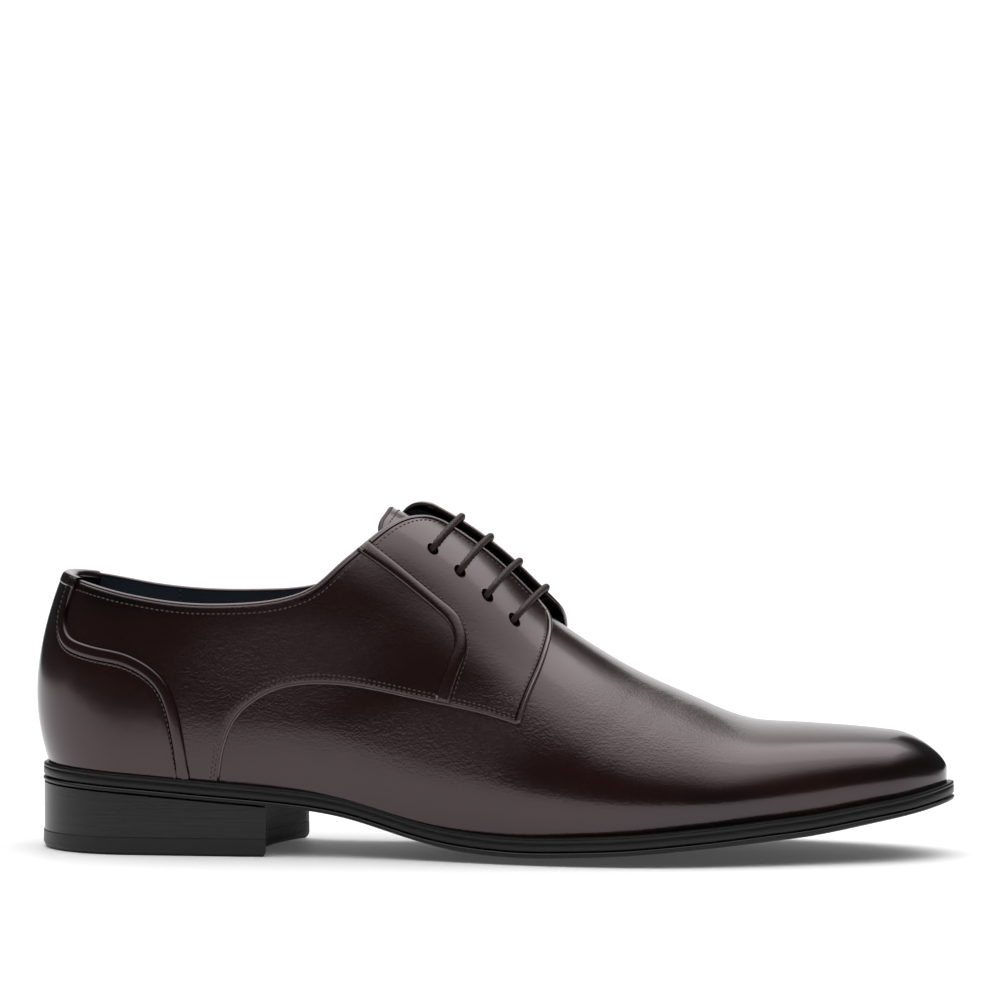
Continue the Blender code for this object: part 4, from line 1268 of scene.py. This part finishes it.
def make_sole():
    """The layers under the foot, from the sock down to the heel's top piece."""
    slab("midsole_visual", sole_loop(0.0), midsole_top, midsole_foot, MIDSOLE_LIP, MIDSOLE_UNDER,
         EDGE_BLACK, ("midsole",))
    slab("outsole_visual", sole_loop(OUTSOLE_OUT), outsole_top, outsole_foot, OUTSOLE_OVER, OUTSOLE_UNDER,
         OUTSOLE_BLACK, ("outsole",))
    slab("heel_stack_visual", heel_loop(STACK_OUT), heel_top, flat(TOP_PIECE + SNUG), STACK_OVER, STACK_UNDER,
         HEEL_BLACK, ("heel_stack",), BREAST)
    slab("top_piece_visual", heel_loop(TOP_PIECE_OUT), flat(TOP_PIECE), flat(0.0), TOP_PIECE_OVER,
         TOP_PIECE_UNDER, RUBBER, ("top_piece",), BREAST)
    row = np.linspace(0, SPAN, round(SPAN / SOCK_FINE) + 1)
    inwards = -(WALL + 2 * CLEAR)
    loop = listed(foot_edge(-1, row, inwards)) + listed(foot_edge(1, row[::-1][1:-1], inwards))
    slab("sock", loop, sock_top, sock_foot, SOCK_OVER, SOCK_UNDER, SOCK, ("insole",))


# The studio
CAMERA_TURN = radians(6.5)
CAMERA_FAR = 1.5
CAMERA_HEIGHT = 172.8 * MM
CAMERA_PITCH = radians(2.04)
CAMERA_AIM = 158.5 * MM
FOCAL = 4410.0
FRAME = 1000.0
SENSOR = 36.0
FLOOR_FRONT = -0.375
FLOOR_GLOW = 0.06
WALL_GLOW = 1.05
WALL_BEHIND = 3.0
WALL_HALF = 0.85
WALL_TALL = 6.0
WALL_MIDDLE = -0.34
ROOM_GLOW = 0.04
CEILING_GLOW = 2.3
CEILING_FROM = (0.46, 1.0)
LIGHT_AT = (0.0, 0.30, 1.35)
LIGHT_AIM = (0.0, 0.0, 0.05)
LIGHT_SIZE = (2.2, 1.2)
LIGHT_POWER = 8.0
WHITE = (1, 1, 1, 1)


def make_camera():
    """The photo's view: a long lens, turned a little towards the toe."""
    data = bpy.data.cameras.new("camera")
    data.sensor_width = SENSOR
    data.lens = FOCAL / FRAME * SENSOR
    place = (SHIFT[0] + CAMERA_AIM + sin(CAMERA_TURN) * CAMERA_FAR,
             SHIFT[1] - cos(CAMERA_TURN) * CAMERA_FAR, CAMERA_HEIGHT)
    bpy.context.scene.camera = linked("camera", data, place, (pi / 2 - CAMERA_PITCH, 0, CAMERA_TURN))


def make_light():
    """One large soft box overhead."""
    data = bpy.data.lights.new("overhead", "AREA")
    data.shape = "RECTANGLE"
    data.size, data.size_y = LIGHT_SIZE
    data.energy = LIGHT_POWER
    way = Vector(LIGHT_AIM) - Vector(LIGHT_AT)
    linked("overhead", data, LIGHT_AT, way.to_track_quat("-Z", "Y").to_euler())


def stage_plane(name, material, half, place, turn=(0, 0, 0)):
    """A flat rectangle of two half sizes."""
    mesh = bmesh.new()
    bmesh.ops.create_grid(mesh, x_segments=4, y_segments=4, size=1.0)
    bmesh.ops.scale(mesh, vec=(*half, 1.0), verts=mesh.verts[:])
    data = bpy.data.meshes.new(name)
    mesh.to_mesh(data)
    mesh.free()
    data.materials.append(material)
    linked(name, data, place, turn)


def glowing(name, color, roughness, specular, glow):
    """A stage material that also shines a little by itself."""
    material, _, shader, _ = new_material(name, color, roughness, specular=specular)
    shader.inputs["Emission Color"].default_value = WHITE
    shader.inputs["Emission Strength"].default_value = glow
    return material


def make_stage():
    """A pale table whose front edge is below the frame, and a white wall far behind the shoe."""
    pale = glowing("pale_floor", (0.90, 0.90, 0.91), 0.6, 0.2, FLOOR_GLOW)
    middle = (FLOOR_FRONT + WALL_BEHIND) / 2
    half = (WALL_BEHIND - FLOOR_FRONT) / 2
    stage_plane("floor", pale, (half, half), (0, middle, 0))
    white = glowing("white_wall", (0.0, 0.0, 0.0), 1.0, 0.0, WALL_GLOW)
    stage_plane("backdrop", white, (WALL_HALF, WALL_TALL), (WALL_MIDDLE, WALL_BEHIND, 0), (pi / 2, 0, 0))


def make_world():
    """A dark room whose light grows smoothly towards the ceiling."""
    world = bpy.data.worlds.new("studio")
    world.use_nodes = True
    tree = world.node_tree
    background = tree.nodes["Background"]
    way = tree.nodes.new("ShaderNodeTexCoord").outputs["Generated"]
    height = made(tree, "SeparateXYZ", {0: way}).outputs["Z"]
    low, high = CEILING_FROM
    fade = {"Value": height, "From Min": low, "From Max": high, "To Min": ROOM_GLOW, "To Max": CEILING_GLOW}
    glow = made(tree, "MapRange", fade, interpolation_type="SMOOTHERSTEP").outputs["Result"]
    tree.links.new(glow, background.inputs["Strength"])
    background.inputs["Color"].default_value = WHITE
    bpy.context.scene.world = world
    bpy.context.scene.view_settings.view_transform = "Standard"


make_camera()
make_vamp()
make_quarter(-1, "quarter_outer")
make_quarter(1, "quarter_inner")
make_counter()
make_heel_fold()
make_band(-1, "band_outer")
make_band(1, "band_inner")
make_lining()
make_beads()
make_tongue()
make_laces()
make_seams()
make_sole()
make_world()
make_stage()
make_light()
